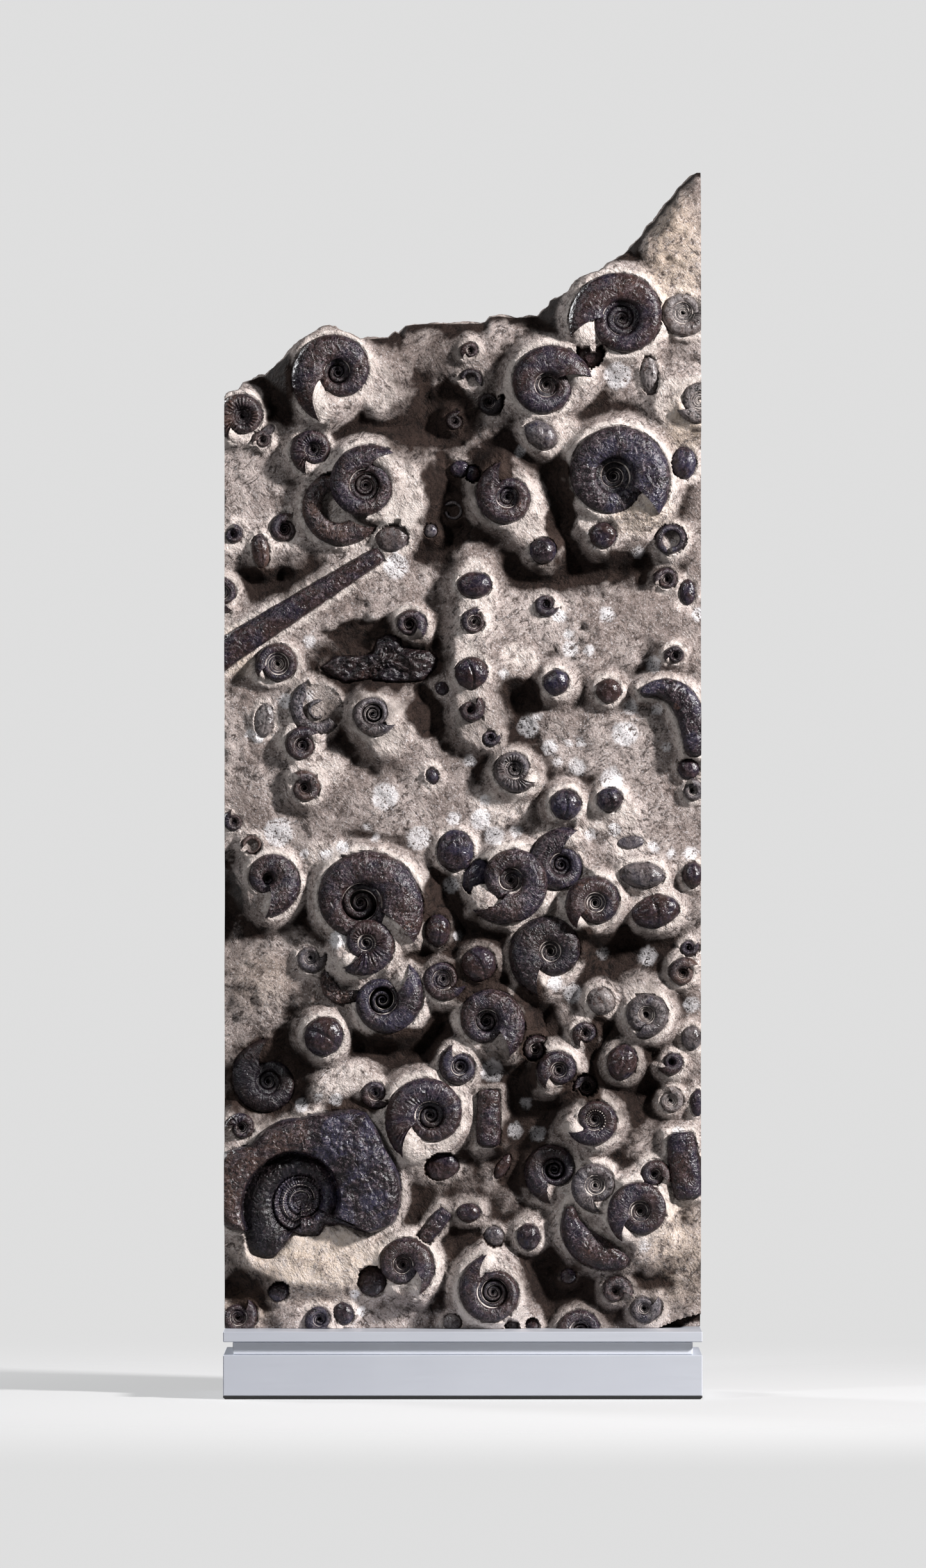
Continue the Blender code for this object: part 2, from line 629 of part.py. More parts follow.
def add_terrain(sheet: Sheet) -> None:
    """Adds staggered rows of points over the ground that is left."""
    row = 0
    z = SLAB_BOTTOM + TERRAIN_SPACING / 2
    while z < TOP_EDGE[0][1]:
        x = -SLAB_HALF_WIDTH + TERRAIN_SPACING * TERRAIN_STARTS[row % 2]
        while x < SLAB_HALF_WIDTH:
            sheet.add_where_free(Vector((x, z)), TERRAIN_ROOM)
            x += TERRAIN_SPACING
        z += TERRAIN_SPACING * math.sqrt(0.75)
        row += 1


def front_sheet() -> Sheet:
    """The points of the slab's front."""
    sheet = Sheet()
    add_outline(sheet)
    for seat in SEATS:
        sheet.add_ring(seat.rim, seat.level)
    add_lumps(sheet)
    add_pedestal_feet(sheet)
    add_terrain(sheet)
    return sheet


def far_side(rim: list[Vector], middle: Vector, angle: float) -> Vector:
    """The foot of a pedestal: the point outside a rim, in a direction from its middle."""
    radius = FOOT_START
    while distance_to(rim, polar(middle.x, middle.y, angle, radius)) < FOOT_REACH:
        radius += FOOT_STEP
    return polar(middle.x, middle.y, angle, radius)


def back_level(x: float, z: float) -> float:
    """Relief of the slab's back, which is nearly flat and rounds forward along the broken top."""
    level = BACK_RELIEF + BACK_ROUGHNESS * noise.noise(Vector((x / BACK_SPAN, z / BACK_SPAN, BACK_SEED)))
    below_top = top_at(x) - z
    if below_top < TOP_ROUND:
        level += BACK_TOP_PART * TOP_FALL * (1.0 - max(below_top, 0.0) / TOP_ROUND) ** 2
    return level


def triangles_inside(points: list[Vector], edges: list) -> tuple[list, list, list]:
    """Delaunay triangles inside the slab's outline, with the input points that each vertex came from."""
    found = delaunay_2d_cdt(points, edges, [], 0, 1e-4)
    coords, faces, origins = found[0], found[2], found[3]
    kept = []
    for face in faces:
        centre = sum((coords[i] for i in face), Vector((0.0, 0.0))) / 3.0
        if distance_to(OUTLINE, centre) < 0.0:
            kept.append(tuple(face))
    return coords, kept, origins


def build_slab(mesh: bpy.types.Mesh) -> None:
    """The slab: its front with seats, pedestals and lumps, its walls and its back."""
    sheet = front_sheet()
    coords, faces, origins = triangles_inside(sheet.points, sheet.edges)
    sides = {}
    for face in faces:
        for a, b in zip(face, face[1:] + face[:1]):
            sides[(a, b)] = sides.get((b, a), 0) + 1
    border = [edge for edge in sides if (edge[1], edge[0]) not in sides]

    work = bmesh.new()
    front = {}
    for face in faces:
        for i in face:
            if i not in front:
                level = sheet.reliefs[origins[i][0]] if origins[i] else relief(*coords[i])
                front[i] = work.verts.new((coords[i].x, -level, coords[i].y))
    for face in faces:
        work.faces.new([front[i] for i in face])

    border_points = sorted({i for edge in border for i in edge})
    place = {i: n for n, i in enumerate(border_points)}
    back_points = [coords[i] for i in border_points]
    back_edges = [(place[a], place[b]) for a, b in border]
    z = SLAB_BOTTOM + BACK_STEP_Z / 2
    while z < TOP_EDGE[0][1]:
        for column in BACK_COLUMNS:
            point = Vector((column * BACK_STEP_X, z))
            if distance_to(OUTLINE, point) < -BACK_MARGIN:
                back_points.append(point)
        z += BACK_STEP_Z
    back_coords, back_faces, back_origins = triangles_inside(back_points, back_edges)
    back = {}
    for i, point in enumerate(back_coords):
        at_bottom = point.y < SLAB_BOTTOM + 1.0
        level = BACK_RELIEF if at_bottom else back_level(point.x, point.y)
        back[back_origins[i][0]] = work.verts.new((point.x, -level, point.y))
    for face in back_faces:
        work.faces.new([back[back_origins[i][0]] for i in reversed(face)])
    for a, b in border:
        work.faces.new([front[b], front[a], back[place[a]], back[place[b]]])
    finish_mesh(work, mesh)


def finish_mesh(work: bmesh.types.BMesh, mesh: bpy.types.Mesh) -> None:
    """Turns a working mesh to metres, with triangles that face outwards."""
    bmesh.ops.triangulate(work, faces=work.faces[:])
    bmesh.ops.recalc_face_normals(work, faces=work.faces[:])
    if work.calc_volume(signed=True) < 0.0:
        bmesh.ops.reverse_faces(work, faces=work.faces[:])
    bmesh.ops.scale(work, vec=(MM, MM, MM), verts=work.verts[:])
    work.to_mesh(mesh)
    work.free()


def cut_by_sides(work: bmesh.types.BMesh) -> None:
    """Cuts a shell flush with the slab's sawn sides and closes the cut."""
    for side in (-1.0, 1.0):
        limit = side * SLAB_HALF_WIDTH
        if all(side * vert.co.x <= SLAB_HALF_WIDTH for vert in work.verts):
            continue
        everything = work.verts[:] + work.edges[:] + work.faces[:]
        bmesh.ops.bisect_plane(
            work, geom=everything, plane_co=(limit, 0, 0), plane_no=(side, 0, 0), clear_outer=True
        )
        open_edges = [edge for edge in work.edges if edge.is_boundary]
        bmesh.ops.holes_fill(work, edges=open_edges)


def coil_row(coil: Coil, step: int, outer: float) -> list[tuple[float, float]]:
    """Radius and height of the outer edge, shoulder, crest, seam and inner crest, some steps back."""
    back = step / coil.steps
    whole = coil.radius * coil.growth ** -back
    height = coil.thick * coil.growth ** -back
    crest_part = coil.crest + (coil.inner_crest * coil.growth - coil.crest) * back
    crest = min(whole * crest_part, outer * CREST_LIMIT)
    seam = min(whole * coil.navel, crest * SEAM_LIMIT)
    inner = min(whole * coil.inner_crest, seam * INNER_LIMIT)
    return [
        (outer, 0.0), (outer * SHOULDER_REACH, SHOULDER * height), (crest, height),
        (seam, coil.seam_level * height), (inner, height / coil.growth),
    ]


def build_coil(mesh: bpy.types.Mesh, coil: Coil) -> None:
    """A coil: an outer turn with a rounded flank, its seam, an inner turn and a sunken middle."""
    work = bmesh.new()
    rim = coil_rim(coil)
    centre = Vector((coil.x, coil.z))
    base = coil.seat + FIT_GAP
    rows = []
    for step, (angle, edge) in enumerate(zip(coil_angles(coil), rim)):
        row = []
        for radius, level in coil_row(coil, step, (edge - centre).length):
            point = polar(coil.x, coil.z, angle, radius)
            row.append(work.verts.new((point.x, -(base + level), point.y)))
        rows.append(row)
    middle_level = MIDDLE_LEVEL * coil.thick / coil.growth
    middle = work.verts.new((coil.x, -(base + middle_level), coil.z))
    # One turn back from the aperture, the crest is the inner crest of the turn that starts there.
    first, last = rows[0], rows[-1]
    work.verts.remove(last[2])
    last[2] = first[4]
    for row, following in zip(rows, rows[1:]):
        for k in range(4):
            work.faces.new((row[k], row[k + 1], following[k + 1], following[k]))
        work.faces.new((row[4], middle, following[4]))
    for a, b in zip(first[1:], first[2:]):
        work.faces.new((a, b, last[1]))
    work.faces.new((first[0], first[1], last[0]))
    work.faces.new((first[1], last[1], last[0]))
    work.faces.new((first[4], last[4], last[3]))
    work.faces.new((first[4], middle, last[4]))
    under = work.verts.new((coil.x, -base, coil.z))
    work.faces.new((last[0], first[0], rows[1][0]))
    work.faces.new((last[0], rows[1][0], under))
    for row, following in zip(rows[1:], rows[2:]):
        work.faces.new((row[0], following[0], under))
    cut_by_sides(work)
    finish_mesh(work, mesh)


def build_dome(mesh: bpy.types.Mesh, dome: Dome) -> None:
    """A round shell: a steep foot, a rounded shoulder and a crown."""
    work = bmesh.new()
    rings = []
    for part, level in DOME_PROFILE:
        ring = []
        for point in dome_rim(dome):
            place = Vector((dome.x, dome.z)).lerp(point, part)
            ring.append(work.verts.new((place.x, -(dome.seat + FIT_GAP + level * dome.thick), place.y)))
        rings.append(ring)
    crown = work.verts.new((dome.x, -(dome.seat + FIT_GAP + dome.thick), dome.z))
    for ring, upper in zip(rings, rings[1:]):
        for i in range(DOME_SIDES):
            j = (i + 1) % DOME_SIDES
            work.faces.new((ring[i], ring[j], upper[j], upper[i]))
    for i in range(DOME_SIDES):
        work.faces.new((rings[2][i], rings[2][(i + 1) % DOME_SIDES], crown))
    work.faces.new(rings[0])
    cut_by_sides(work)
    finish_mesh(work, mesh)


def build_ribbon(mesh: bpy.types.Mesh, ribbon: Ribbon) -> None:
    """A straight shell or a body chamber: a rounded bar along its path with blunt ends."""
    work = bmesh.new()
    rows = []
    for part, level in RIBBON_PROFILE:
        left, right = ribbon_sides(ribbon, part)
        height = -(ribbon.seat + FIT_GAP + level * ribbon.thick)
        rows.append([work.verts.new((point.x, height, point.y)) for point in left])
        rows.append([work.verts.new((point.x, height, point.y)) for point in right])
    ordered = [rows[0], rows[2], rows[4], rows[5], rows[3], rows[1]]
    last = len(ribbon.path) - 1
    for here, there in zip(ordered, ordered[1:] + ordered[:1]):
        for i in range(last):
            work.faces.new((here[i], here[i + 1], there[i + 1], there[i]))
    work.faces.new([row[0] for row in ordered])
    work.faces.new([row[last] for row in reversed(ordered)])
    cut_by_sides(work)
    finish_mesh(work, mesh)


def giant_row(angle: float) -> list[tuple[float, float]]:
    """Radius and height of the giant's profile in a direction, from its edge in to its core."""
    edge = between(GIANT_EDGE, angle)
    first_navel, last_navel = GIANT_NAVEL[0][0], GIANT_NAVEL[-1][0]
    if (angle - first_navel) % 360.0 + first_navel <= last_navel:
        wall = between(GIANT_NAVEL, angle)
        crest = edge + (wall - edge) * GIANT_CREST_PLACE
        places = [
            (edge, 0.0), (edge * GIANT_SHOULDER[0], GIANT_SHOULDER[1] * GIANT_CREST), (crest, GIANT_CREST),
            (wall, GIANT_WALL_TOP * GIANT_CREST),
            (wall * GIANT_WALL_FOOT[0], GIANT_WALL_FOOT[1] * GIANT_CREST),
        ]
    else:
        lobe = min(edge, GIANT_LOBE_REACH)
        shoulder = (edge * GIANT_LOBE_SHOULDER[0], GIANT_LOBE_SHOULDER[1] * GIANT_INNER_CREST)
        places = [(edge, 0.0), shoulder]
        places += [(lobe * part, level * GIANT_INNER_CREST) for part, level in GIANT_LOBE_PROFILE]
    return places + [(GIANT_CORE[0], GIANT_CORE[1] * GIANT_INNER_CREST)]


def build_giant(mesh: bpy.types.Mesh) -> None:
    """The giant: a thick outer turn, the deep wall of its navel, and the sunken inner turns."""
    work = bmesh.new()
    base = GIANT_SEAT + FIT_GAP
    rows = []
    for angle in giant_angles():
        row = []
        for radius, level in giant_row(angle):
            point = polar(*GIANT_CENTRE, angle, radius)
            row.append(work.verts.new((point.x, -(base + level), point.y)))
        rows.append(row)
    middle_at = -(base + GIANT_MIDDLE * GIANT_INNER_CREST)
    middle = work.verts.new((GIANT_CENTRE[0], middle_at, GIANT_CENTRE[1]))
    for row, following in zip(rows, rows[1:] + rows[:1]):
        for k in range(5):
            work.faces.new((row[k], row[k + 1], following[k + 1], following[k]))
        work.faces.new((row[5], middle, following[5]))
    work.faces.new([row[0] for row in rows])
    cut_by_sides(work)
    finish_mesh(work, mesh)


def build_block(mesh: bpy.types.Mesh, low: float, high: float, inset: float) -> None:
    """A block of the plinth between two heights, with its long edges broken."""
    work = bmesh.new()
    bmesh.ops.create_cube(work, size=1.0)
    size = (PLINTH_WIDTH - 2 * inset, PLINTH_DEPTH - 2 * inset, high - low)
    bmesh.ops.scale(work, vec=size, verts=work.verts[:])
    bmesh.ops.translate(work, vec=(0.0, 0.0, (low + high) / 2), verts=work.verts[:])
    bmesh.ops.bevel(work, geom=work.edges[:], offset=EDGE_BEVEL, segments=1, affect="EDGES")
    finish_mesh(work, mesh)


def build_foot(mesh: bpy.types.Mesh) -> None:
    """The foot: a thin pad whose lower edge is chamfered in."""
    work = bmesh.new()
    rings = []
    for height, inset in ((0.0, FOOT_CHAMFER), (FOOT_CHAMFER, 0.0), (FOOT_TOP, 0.0)):
        half_x = PLINTH_WIDTH / 2 - inset
        half_y = PLINTH_DEPTH / 2 - inset
        corners = ((-half_x, -half_y), (half_x, -half_y), (half_x, half_y), (-half_x, half_y))
        rings.append([work.verts.new((x, y, height)) for x, y in corners])
    for ring, upper in zip(rings, rings[1:]):
        for i in range(4):
            j = (i + 1) % 4
            work.faces.new((ring[i], ring[j], upper[j], upper[i]))
    work.faces.new(rings[0][::-1])
    work.faces.new(rings[-1])
    finish_mesh(work, mesh)


def add_piece(name: str, finish: Finish, build: Callable, *details) -> None:
    """Makes one named piece with a material of its own, and stands it on the plate's empty."""
    mesh = bpy.data.meshes.new(name)
    build(mesh, *details)
    material = bpy.data.materials.new(name + "_finish")
    material.use_nodes = True
    shader = material.node_tree.nodes["Principled BSDF"]
    shader.inputs["Base Color"].default_value = (*finish.colour, 1.0)
    shader.inputs["Metallic"].default_value = finish.metallic
    shader.inputs["Roughness"].default_value = finish.roughness
    material.diffuse_color = (*finish.colour, 1.0)
    mesh.materials.append(material)
    if build in ROUNDED:
        mesh.shade_smooth()
        mesh.set_sharp_from_angle(angle=SHARP_ANGLE)
    piece = bpy.data.objects.new(name, mesh)
    bpy.context.scene.collection.objects.link(piece)
    piece.parent = bpy.data.objects[PLATE]


PLATE = "ammonite_plate"
ROUNDED = (build_coil, build_dome, build_ribbon, build_giant)
SHARP_ANGLE = math.radians(50)


def main() -> None:
    """Clears the scene and builds the plinth, the slab and the shells."""
    for stale in list(bpy.data.objects):
        bpy.data.objects.remove(stale)
    plate = bpy.data.objects.new(PLATE, None)
    bpy.context.scene.collection.objects.link(plate)

    add_piece("foot_pad", BLACK_RUBBER, build_foot)
    add_piece("plinth_block", SATIN_METAL, build_block, FOOT_TOP + FIT_GAP, BLOCK_TOP, 0.0)
    add_piece("plinth_neck", NECK_METAL, build_block, BLOCK_TOP + FIT_GAP, NECK_TOP, NECK_INSET)
    add_piece("plinth_cap", SATIN_METAL, build_block, NECK_TOP + FIT_GAP, CAP_TOP, 0.0)
    add_piece("rock_slab", LIMESTONE, build_slab)
    add_piece(GIANT_NAME, DARK_SHELL, build_giant)
    for coil in COILS:
        add_piece(coil.name, DARK_SHELL, build_coil, coil)
    for dome in ROUND_SHELLS:
        add_piece(dome.name, GREY_SHELL, build_dome, dome)
    for ribbon in RIBBONS:
        add_piece(ribbon.name, DARK_SHELL, build_ribbon, ribbon)


main()
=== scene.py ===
"""Dresses the ammonite cluster plate: weathered limestone, dark fossil shells and a satin metal plinth.

The front faces -Y and +Z is up. Lengths are millimetres in the tables and the formulas, and turn to metres
when a mesh is made. "Relief" is how far a point stands out to the viewer from the slab's middle plane, and
directions are degrees, anticlockwise from +X as seen from the front.
"""

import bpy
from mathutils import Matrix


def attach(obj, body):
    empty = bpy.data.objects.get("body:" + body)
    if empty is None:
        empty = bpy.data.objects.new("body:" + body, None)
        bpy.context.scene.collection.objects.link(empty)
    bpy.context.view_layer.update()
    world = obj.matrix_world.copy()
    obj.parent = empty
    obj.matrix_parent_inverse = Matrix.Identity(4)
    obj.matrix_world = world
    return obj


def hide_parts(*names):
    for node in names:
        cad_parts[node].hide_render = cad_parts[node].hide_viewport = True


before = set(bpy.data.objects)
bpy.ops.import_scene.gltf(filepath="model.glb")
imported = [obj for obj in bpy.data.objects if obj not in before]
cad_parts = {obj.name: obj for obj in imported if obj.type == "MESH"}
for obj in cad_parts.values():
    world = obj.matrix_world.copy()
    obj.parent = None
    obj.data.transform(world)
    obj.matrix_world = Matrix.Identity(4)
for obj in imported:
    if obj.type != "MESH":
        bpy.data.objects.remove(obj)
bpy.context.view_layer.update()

import logging
import math
from collections.abc import Callable
from dataclasses import dataclass, field, replace
from enum import Enum

import bmesh
import bpy
import numpy as np
from bpy.types import Material, Mesh, Node, NodeSocket, NodeTree, Object
from mathutils import Vector, noise
from mathutils.geometry import delaunay_2d_cdt

log = logging.getLogger("ammonite_plate")
MM = 0.001

# Slab.
HALF_WIDTH = 250.0
SLAB_BOTTOM = 70.7
BACK_RELIEF = -45.0
BACK_ROUGHNESS = 2.5
BACK_SPAN = 90.0
TOP_FALL = 22.0
TOP_ROUND = 30.0
GROUND = 12.0
ROLL_HEIGHT = 5.0
ROLL_SPAN = 70.0
TOP_LINE = (
    (-250, 1048), (-245, 1052), (-235, 1054), (-230, 1062), (-222, 1065), (-214, 1069), (-207, 1070),
    (-203, 1075), (-195, 1082), (-187, 1087), (-177, 1099), (-170, 1107), (-158, 1114), (-150, 1119),
    (-145, 1121), (-134, 1121), (-130, 1117), (-120, 1114), (-108, 1107), (-100, 1108), (-78, 1109),
    (-71, 1116), (-67, 1114), (-60, 1122), (-50, 1124), (-35, 1125), (0, 1125), (19, 1125), (24, 1127),
    (29, 1132), (38, 1133), (54, 1131), (79, 1132), (84, 1138), (91, 1144), (92, 1149), (100, 1151),
    (109, 1157), (113, 1160), (119, 1169), (129, 1174), (143, 1179), (149, 1182), (153, 1187),
    (163, 1193), (170, 1198), (175, 1203), (183, 1212), (189, 1218), (194, 1227), (201, 1232),
    (209, 1243), (214, 1251), (221, 1257), (227, 1267), (236, 1275), (242, 1281), (246, 1284), (250, 1284),
)
BROKEN_CORNER = ((206, 70.7), (222, 77), (237, 82), (250, 85))
CORNER_RELIEF = -36.0

# A coil's section: the share of a turn's width on each side of its crest, its seam's radius at the mouth
# against the umbilicus, how much that falls in a turn, the seam's largest share of the outer radius, where the
# inner turns start to sink and over how many degrees, and the power by which their height shrinks.
HALF_SHARE = 0.53
NAVEL_START = 1.08
NAVEL_FALL = 0.22
NAVEL_LIMIT = 0.8
SINK_START = 120.0
SINK_SPAN = 300.0
THINNING = 0.75

# How the rock meets a shell. From RIM outside the outline inwards it stands at most EDGE_COVER over the seat,
# and TUCK further in it drops away under the shell.
PEDESTAL_SLOPE = 1.75
PEDESTAL_ROUND = 2.2
SHOULDER = 2.2
PIT_SLOPE = 1.0
RIM = 0.9
TUCK = 2.0
EDGE_COVER = 0.6
LIP_HEIGHT = 1.7
LIP_REACH = 0.8
LIP_WIDTH = 1.3
PIT_BLEND = 3.0
MOUND_FALL = 75.0
DARK_DEPTH = 9.0

# How the rock's roughness and its smooth edges and flanks fade away from a shell, in square millimetres.
ROUGH_FADE = 150.0
EDGE_FADE = 7.0
FLANK_FADE = 160.0

# Rock in a mouth: its height against the shell's, and the values that stand for none and separate it.
MOUTH_FILL = 0.7
BARE = -99.0
HARDLY_BARE = -50.0

# How softly pedestals meet, and how far round a shell its seat reaches.
BLEND = 7.0
SEAT_REACH = 34.0

# Density of the rock's mesh.
FINE_STEP = 1.75
COARSE_EVERY = 2
FINE_REACH = 7.0
BORDER_STEP = 3.0
BORDER_ROOM = 1.2
BACK_STEP = 9.0
TOP_ROWS = 9
SEED = 11
MEAN_PITCH = 4.0
MEAN_ROUNDS = 26
SCATTER = 0.22

# The broken top between front and back: swell, roughness and span.
EDGE_SWELL = 1.5
EDGE_ROUGHNESS = 2.4
EDGE_SPAN = 16.0

# Fractal noise: how its octaves weaken and how they narrow.
NOISE_FALL = 0.7
NOISE_STEP = 2.1
SHARP_ANGLE = 58.0
THREAD_SIDES = 6


class Tone(Enum):
    """How a shell has weathered, as (grey, warm) shares."""

    DARK = (0.0, 0.35)
    BLUE = (0.04, -0.2)
    BROWN = (0.08, 1.0)
    GREY = (0.5, 0.1)
    GREEN = (0.45, 0.5)
    WORN = (0.95, 0.9)


class Form(Enum):
    """How the side of a coiled shell is sculpted, as (ribs in a turn, rib depth, roughness in mm)."""

    SMOOTH = (0, 0.0, 0.55)
    ROUGH = (0, 0.0, 1.0)
    RIBBED = (26, 0.10, 0.35)
    FINE = (44, 0.06, 0.4)
    BEADED = (20, 0.05, 0.3)


class Grain(Enum):
    """Kinds of fractal roughness, as (height in mm, span in mm, seed, octaves)."""

    GROUND = (3.0, 26.0, 3.0, 4)
    CHISEL = (3.4, 11.0, 5.0, 3)
    MIDDLE = (1.5, 9.0, 13.0, 2)
    SAND = (0.7, 4.6, 9.0, 2)
    LIP = (0.9, 14.0, 51.0, 2)
    # Ragged edges of the places painted with shade.
    STAIN_ACROSS = (11.0, 38.0, 61.0, 3)
    STAIN_UP = (11.0, 38.0, 67.0, 3)
    PATCH_EDGE = (0.12, 6.0, 21.0, 2)
    PAINT = (1.0, 17.0, 41.0, 3)
    BACK = (1.6, 34.0, 15.0, 4)
    BACK_KNOBS = (1.3, 15.0, 17.0, 3)
    GIANT_SWELLS = (1.9, 15.0, 31.0, 4)
    GIANT_KNOBS = (1.1, 7.0, 33.0, 3)
    GIANT_SAND = (1.0, 4.4, 35.0, 2)

    def over(self, points: np.ndarray) -> np.ndarray:
        """Relief of this roughness at each point."""
        height, span, seed, octaves = self.value
        return height * roughness(points, span, seed, octaves)


@dataclass(frozen=True)
class Coil:
    """A coiled shell seen from its side.

    turn is 1 where it grows anticlockwise and -1 where it grows clockwise. umbilicus is the radius of the
    open middle inside the last turn, and seam is how much pale rock fills the seam between two turns. lip is
    how far the mouth slants back to its inner edge and ahead how far rock fills the space before it, in
    degrees. shown is how many degrees of the spiral are there, or 0 for all of it, and shade is how much
    painted shade darkens the whole shell.
    """

    x: float
    z: float
    turn: int
    aperture: float
    radius: float
    growth: float
    umbilicus: float
    seat: float
    thick: float
    form: Form = Form.SMOOTH
    tone: Tone = Tone.DARK
    seam: float = 0.0
    square: float = 2.05
    lip: float = 24.0
    ahead: float = 30.0
    sink: float = 3.5
    shown: float = 0.0
    shade: float = 0.0
    name: str = "small_coil"

    def outer(self, back: np.ndarray) -> np.ndarray:
        """Outer radius, a number of degrees back from the aperture."""
        return self.radius * self.growth ** (-back / 360.0)

    def inner(self, back: np.ndarray) -> np.ndarray:
        """Radius of the seam inside a turn, a number of degrees back from the aperture.

        Args:
            back: degrees back from the aperture.

        Returns:
            One radius for each number of degrees.
        """
        last = self.umbilicus * (NAVEL_START - NAVEL_FALL * np.minimum(back / 360.0, 1.0))
        wound = last * self.growth ** (-np.maximum(back - 360.0, 0.0) / 360.0)
        return np.minimum(wound, NAVEL_LIMIT * self.outer(back))

    @property
    def drop(self) -> float:
        """How deep the inner turns lie; less in a small shell."""
        return self.sink * min(1.0, self.radius / 45.0)

    def turned_back(self) -> float:
        """How many degrees of the spiral are worth showing."""
        seen = 360.0 + 360.0 * math.log(max(self.umbilicus * 0.85 / 1.5, 1.2)) / math.log(self.growth)
        return self.shown or min(seen, 2200.0)

    def base(self, back: np.ndarray) -> np.ndarray:
        """Relief that a turn stands on: the inner turns lie deeper."""
        return self.seat - self.drop * smooth_step(SINK_START, SINK_START + SINK_SPAN, back)

    def outline(self, points: int = 60) -> np.ndarray:
        """Closed outline of the rock's seat: one turn of the spiral and the step at the aperture.

        Args:
            points: how many points it has.

        Returns:
            Its points, one in a row.
        """
        back = np.linspace(0.0, 360.0, points)
        return placed((self.x, self.z), self.aperture - self.turn * back, self.outer(back))

    def footing(self, points: int = 60, eased: float = 70.0) -> np.ndarray:
        """Closed outline of the pedestal: the spiral with its step eased, to carry the mouth's rock.

        Args:
            points: how many points it has.
            eased: degrees over which the step is eased.

        Returns:
            Its points, one in a row.
        """
        back = np.linspace(0.0, 360.0, points, endpoint=False)
        part = np.clip((360.0 - back) / eased, 0.0, 1.0)
        reach = self.outer(back) + self.radius * (1.0 - 1.0 / self.growth) * (1.0 - part) ** 1.5
        return placed((self.x, self.z), self.aperture - self.turn * back, reach)

    def mouth(self, points: np.ndarray) -> np.ndarray:
        """Relief of the rock that fills the mouth and slopes away before it, or BARE elsewhere.

        Args:
            points: places on the front, one in a row.

        Returns:
            One relief for each point.
        """
        aside, over = points[:, 0] - self.x, points[:, 1] - self.z
        reach = np.hypot(aside, over)
        angle = self.turn * (np.degrees(np.arctan2(over, aside)) - self.aperture)
        before = (angle + 120.0) % 360.0 - 120.0
        inner = self.outer(360.0 - before)
        ease = 1.0 - np.clip(before / 70.0, 0.0, 1.0)
        eased = inner + (self.radius - self.outer(360.0)) * ease ** 1.5
        outer = np.where(before > 0.0, eased, self.outer(-before))
        part = (reach - inner) / np.maximum(outer - inner, 0.5)
        slant = self.lip * np.clip((outer - reach) / (outer - self.umbilicus), 0.0, 1.0)
        swell = np.sin(np.clip(0.14 + 0.76 * part, 0.0, 1.0) * math.pi) ** 0.8
        fade = 1.0 - smooth_step(-0.3 * self.ahead, self.ahead, before)
        level = self.seat + MOUTH_FILL * self.thick * swell * fade
        inside = (before > -slant - 8.0) & (before < self.ahead) & (part > -0.16) & (part < 1.08)
        return np.where(inside, level, BARE)


@dataclass(frozen=True)
class Dome:
    """A round or oval shell seen from its edge, with half sizes, tilt and a groove across it."""

    x: float
    z: float
    half_width: float
    half_height: float
    tilt: float
    seat: float
    thick: float
    groove: float = 0.0
    tone: Tone = Tone.DARK
    name: str = "small_dome"

    def outline(self, points: int = 36) -> np.ndarray:
        """Closed outline: an ellipse.

        Args:
            points: how many points it has.

        Returns:
            Its points, one in a row.
        """
        angles = np.linspace(0.0, 2.0 * math.pi, points, endpoint=False)
        across = self.half_width * np.cos(angles)
        along = self.half_height * np.sin(angles)
        turned = math.radians(self.tilt)
        return np.stack([
            self.x + across * math.cos(turned) - along * math.sin(turned),
            self.z + across * math.sin(turned) + along * math.cos(turned),
        ], 1)


@dataclass(frozen=True)
class Ribbon:
    """A straight shell or a length of body chamber, along a path with a half width at each point."""

    name: str
    path: tuple
    half_widths: tuple
    seat: float
    thick: float
    tone: Tone = Tone.DARK
    rings: float = 0.0

    def line(self, samples: int = 60) -> tuple[np.ndarray, np.ndarray, np.ndarray]:
        """Points, sideways directions and half widths along a smooth line through the path.

        Args:
            samples: how many points the line has.

        Returns:
            The three arrays, one row for each point.
        """
        path = np.array(self.path, float)
        knots = np.concatenate([[0.0], np.cumsum(np.linalg.norm(np.diff(path, axis=0), axis=1))])
        places = np.linspace(0.0, knots[-1], samples)
        points = np.stack([np.interp(places, knots, path[:, k]) for k in (0, 1)], 1)
        widths = np.interp(places, knots, self.half_widths)
        soft = np.array([0.25, 0.5, 0.25])
        for _ in range(int(samples * 0.5)):
            for values in (points[:, 0], points[:, 1], widths):
                values[1:-1] = np.convolve(values, soft, "valid")
        ahead = np.gradient(points, axis=0)
        ahead /= np.linalg.norm(ahead, axis=1)[:, None]
        return points, np.stack([-ahead[:, 1], ahead[:, 0]], 1), widths

    def outline(self) -> np.ndarray:
        """Closed outline: both sides of the ribbon.

        Returns:
            Its points, one in a row.
        """
        points, across, widths = self.line(24)
        left = points + across * widths[:, None]
        right = points - across * widths[:, None]
        return np.concatenate([left, right[::-1]])


def numbered(name: str, *shells: Coil | Dome) -> tuple:
    """The shells, each with its number from 1 in its name."""
    return tuple(replace(shell, name=name.format(number)) for number, shell in enumerate(shells, 1))


S, R, B, F, K = Form.SMOOTH, Form.ROUGH, Form.RIBBED, Form.FINE, Form.BEADED
DARK, BLUE, BROWN, GREY, GREEN, WORN = Tone.DARK, Tone.BLUE, Tone.BROWN, Tone.GREY, Tone.GREEN, Tone.WORN

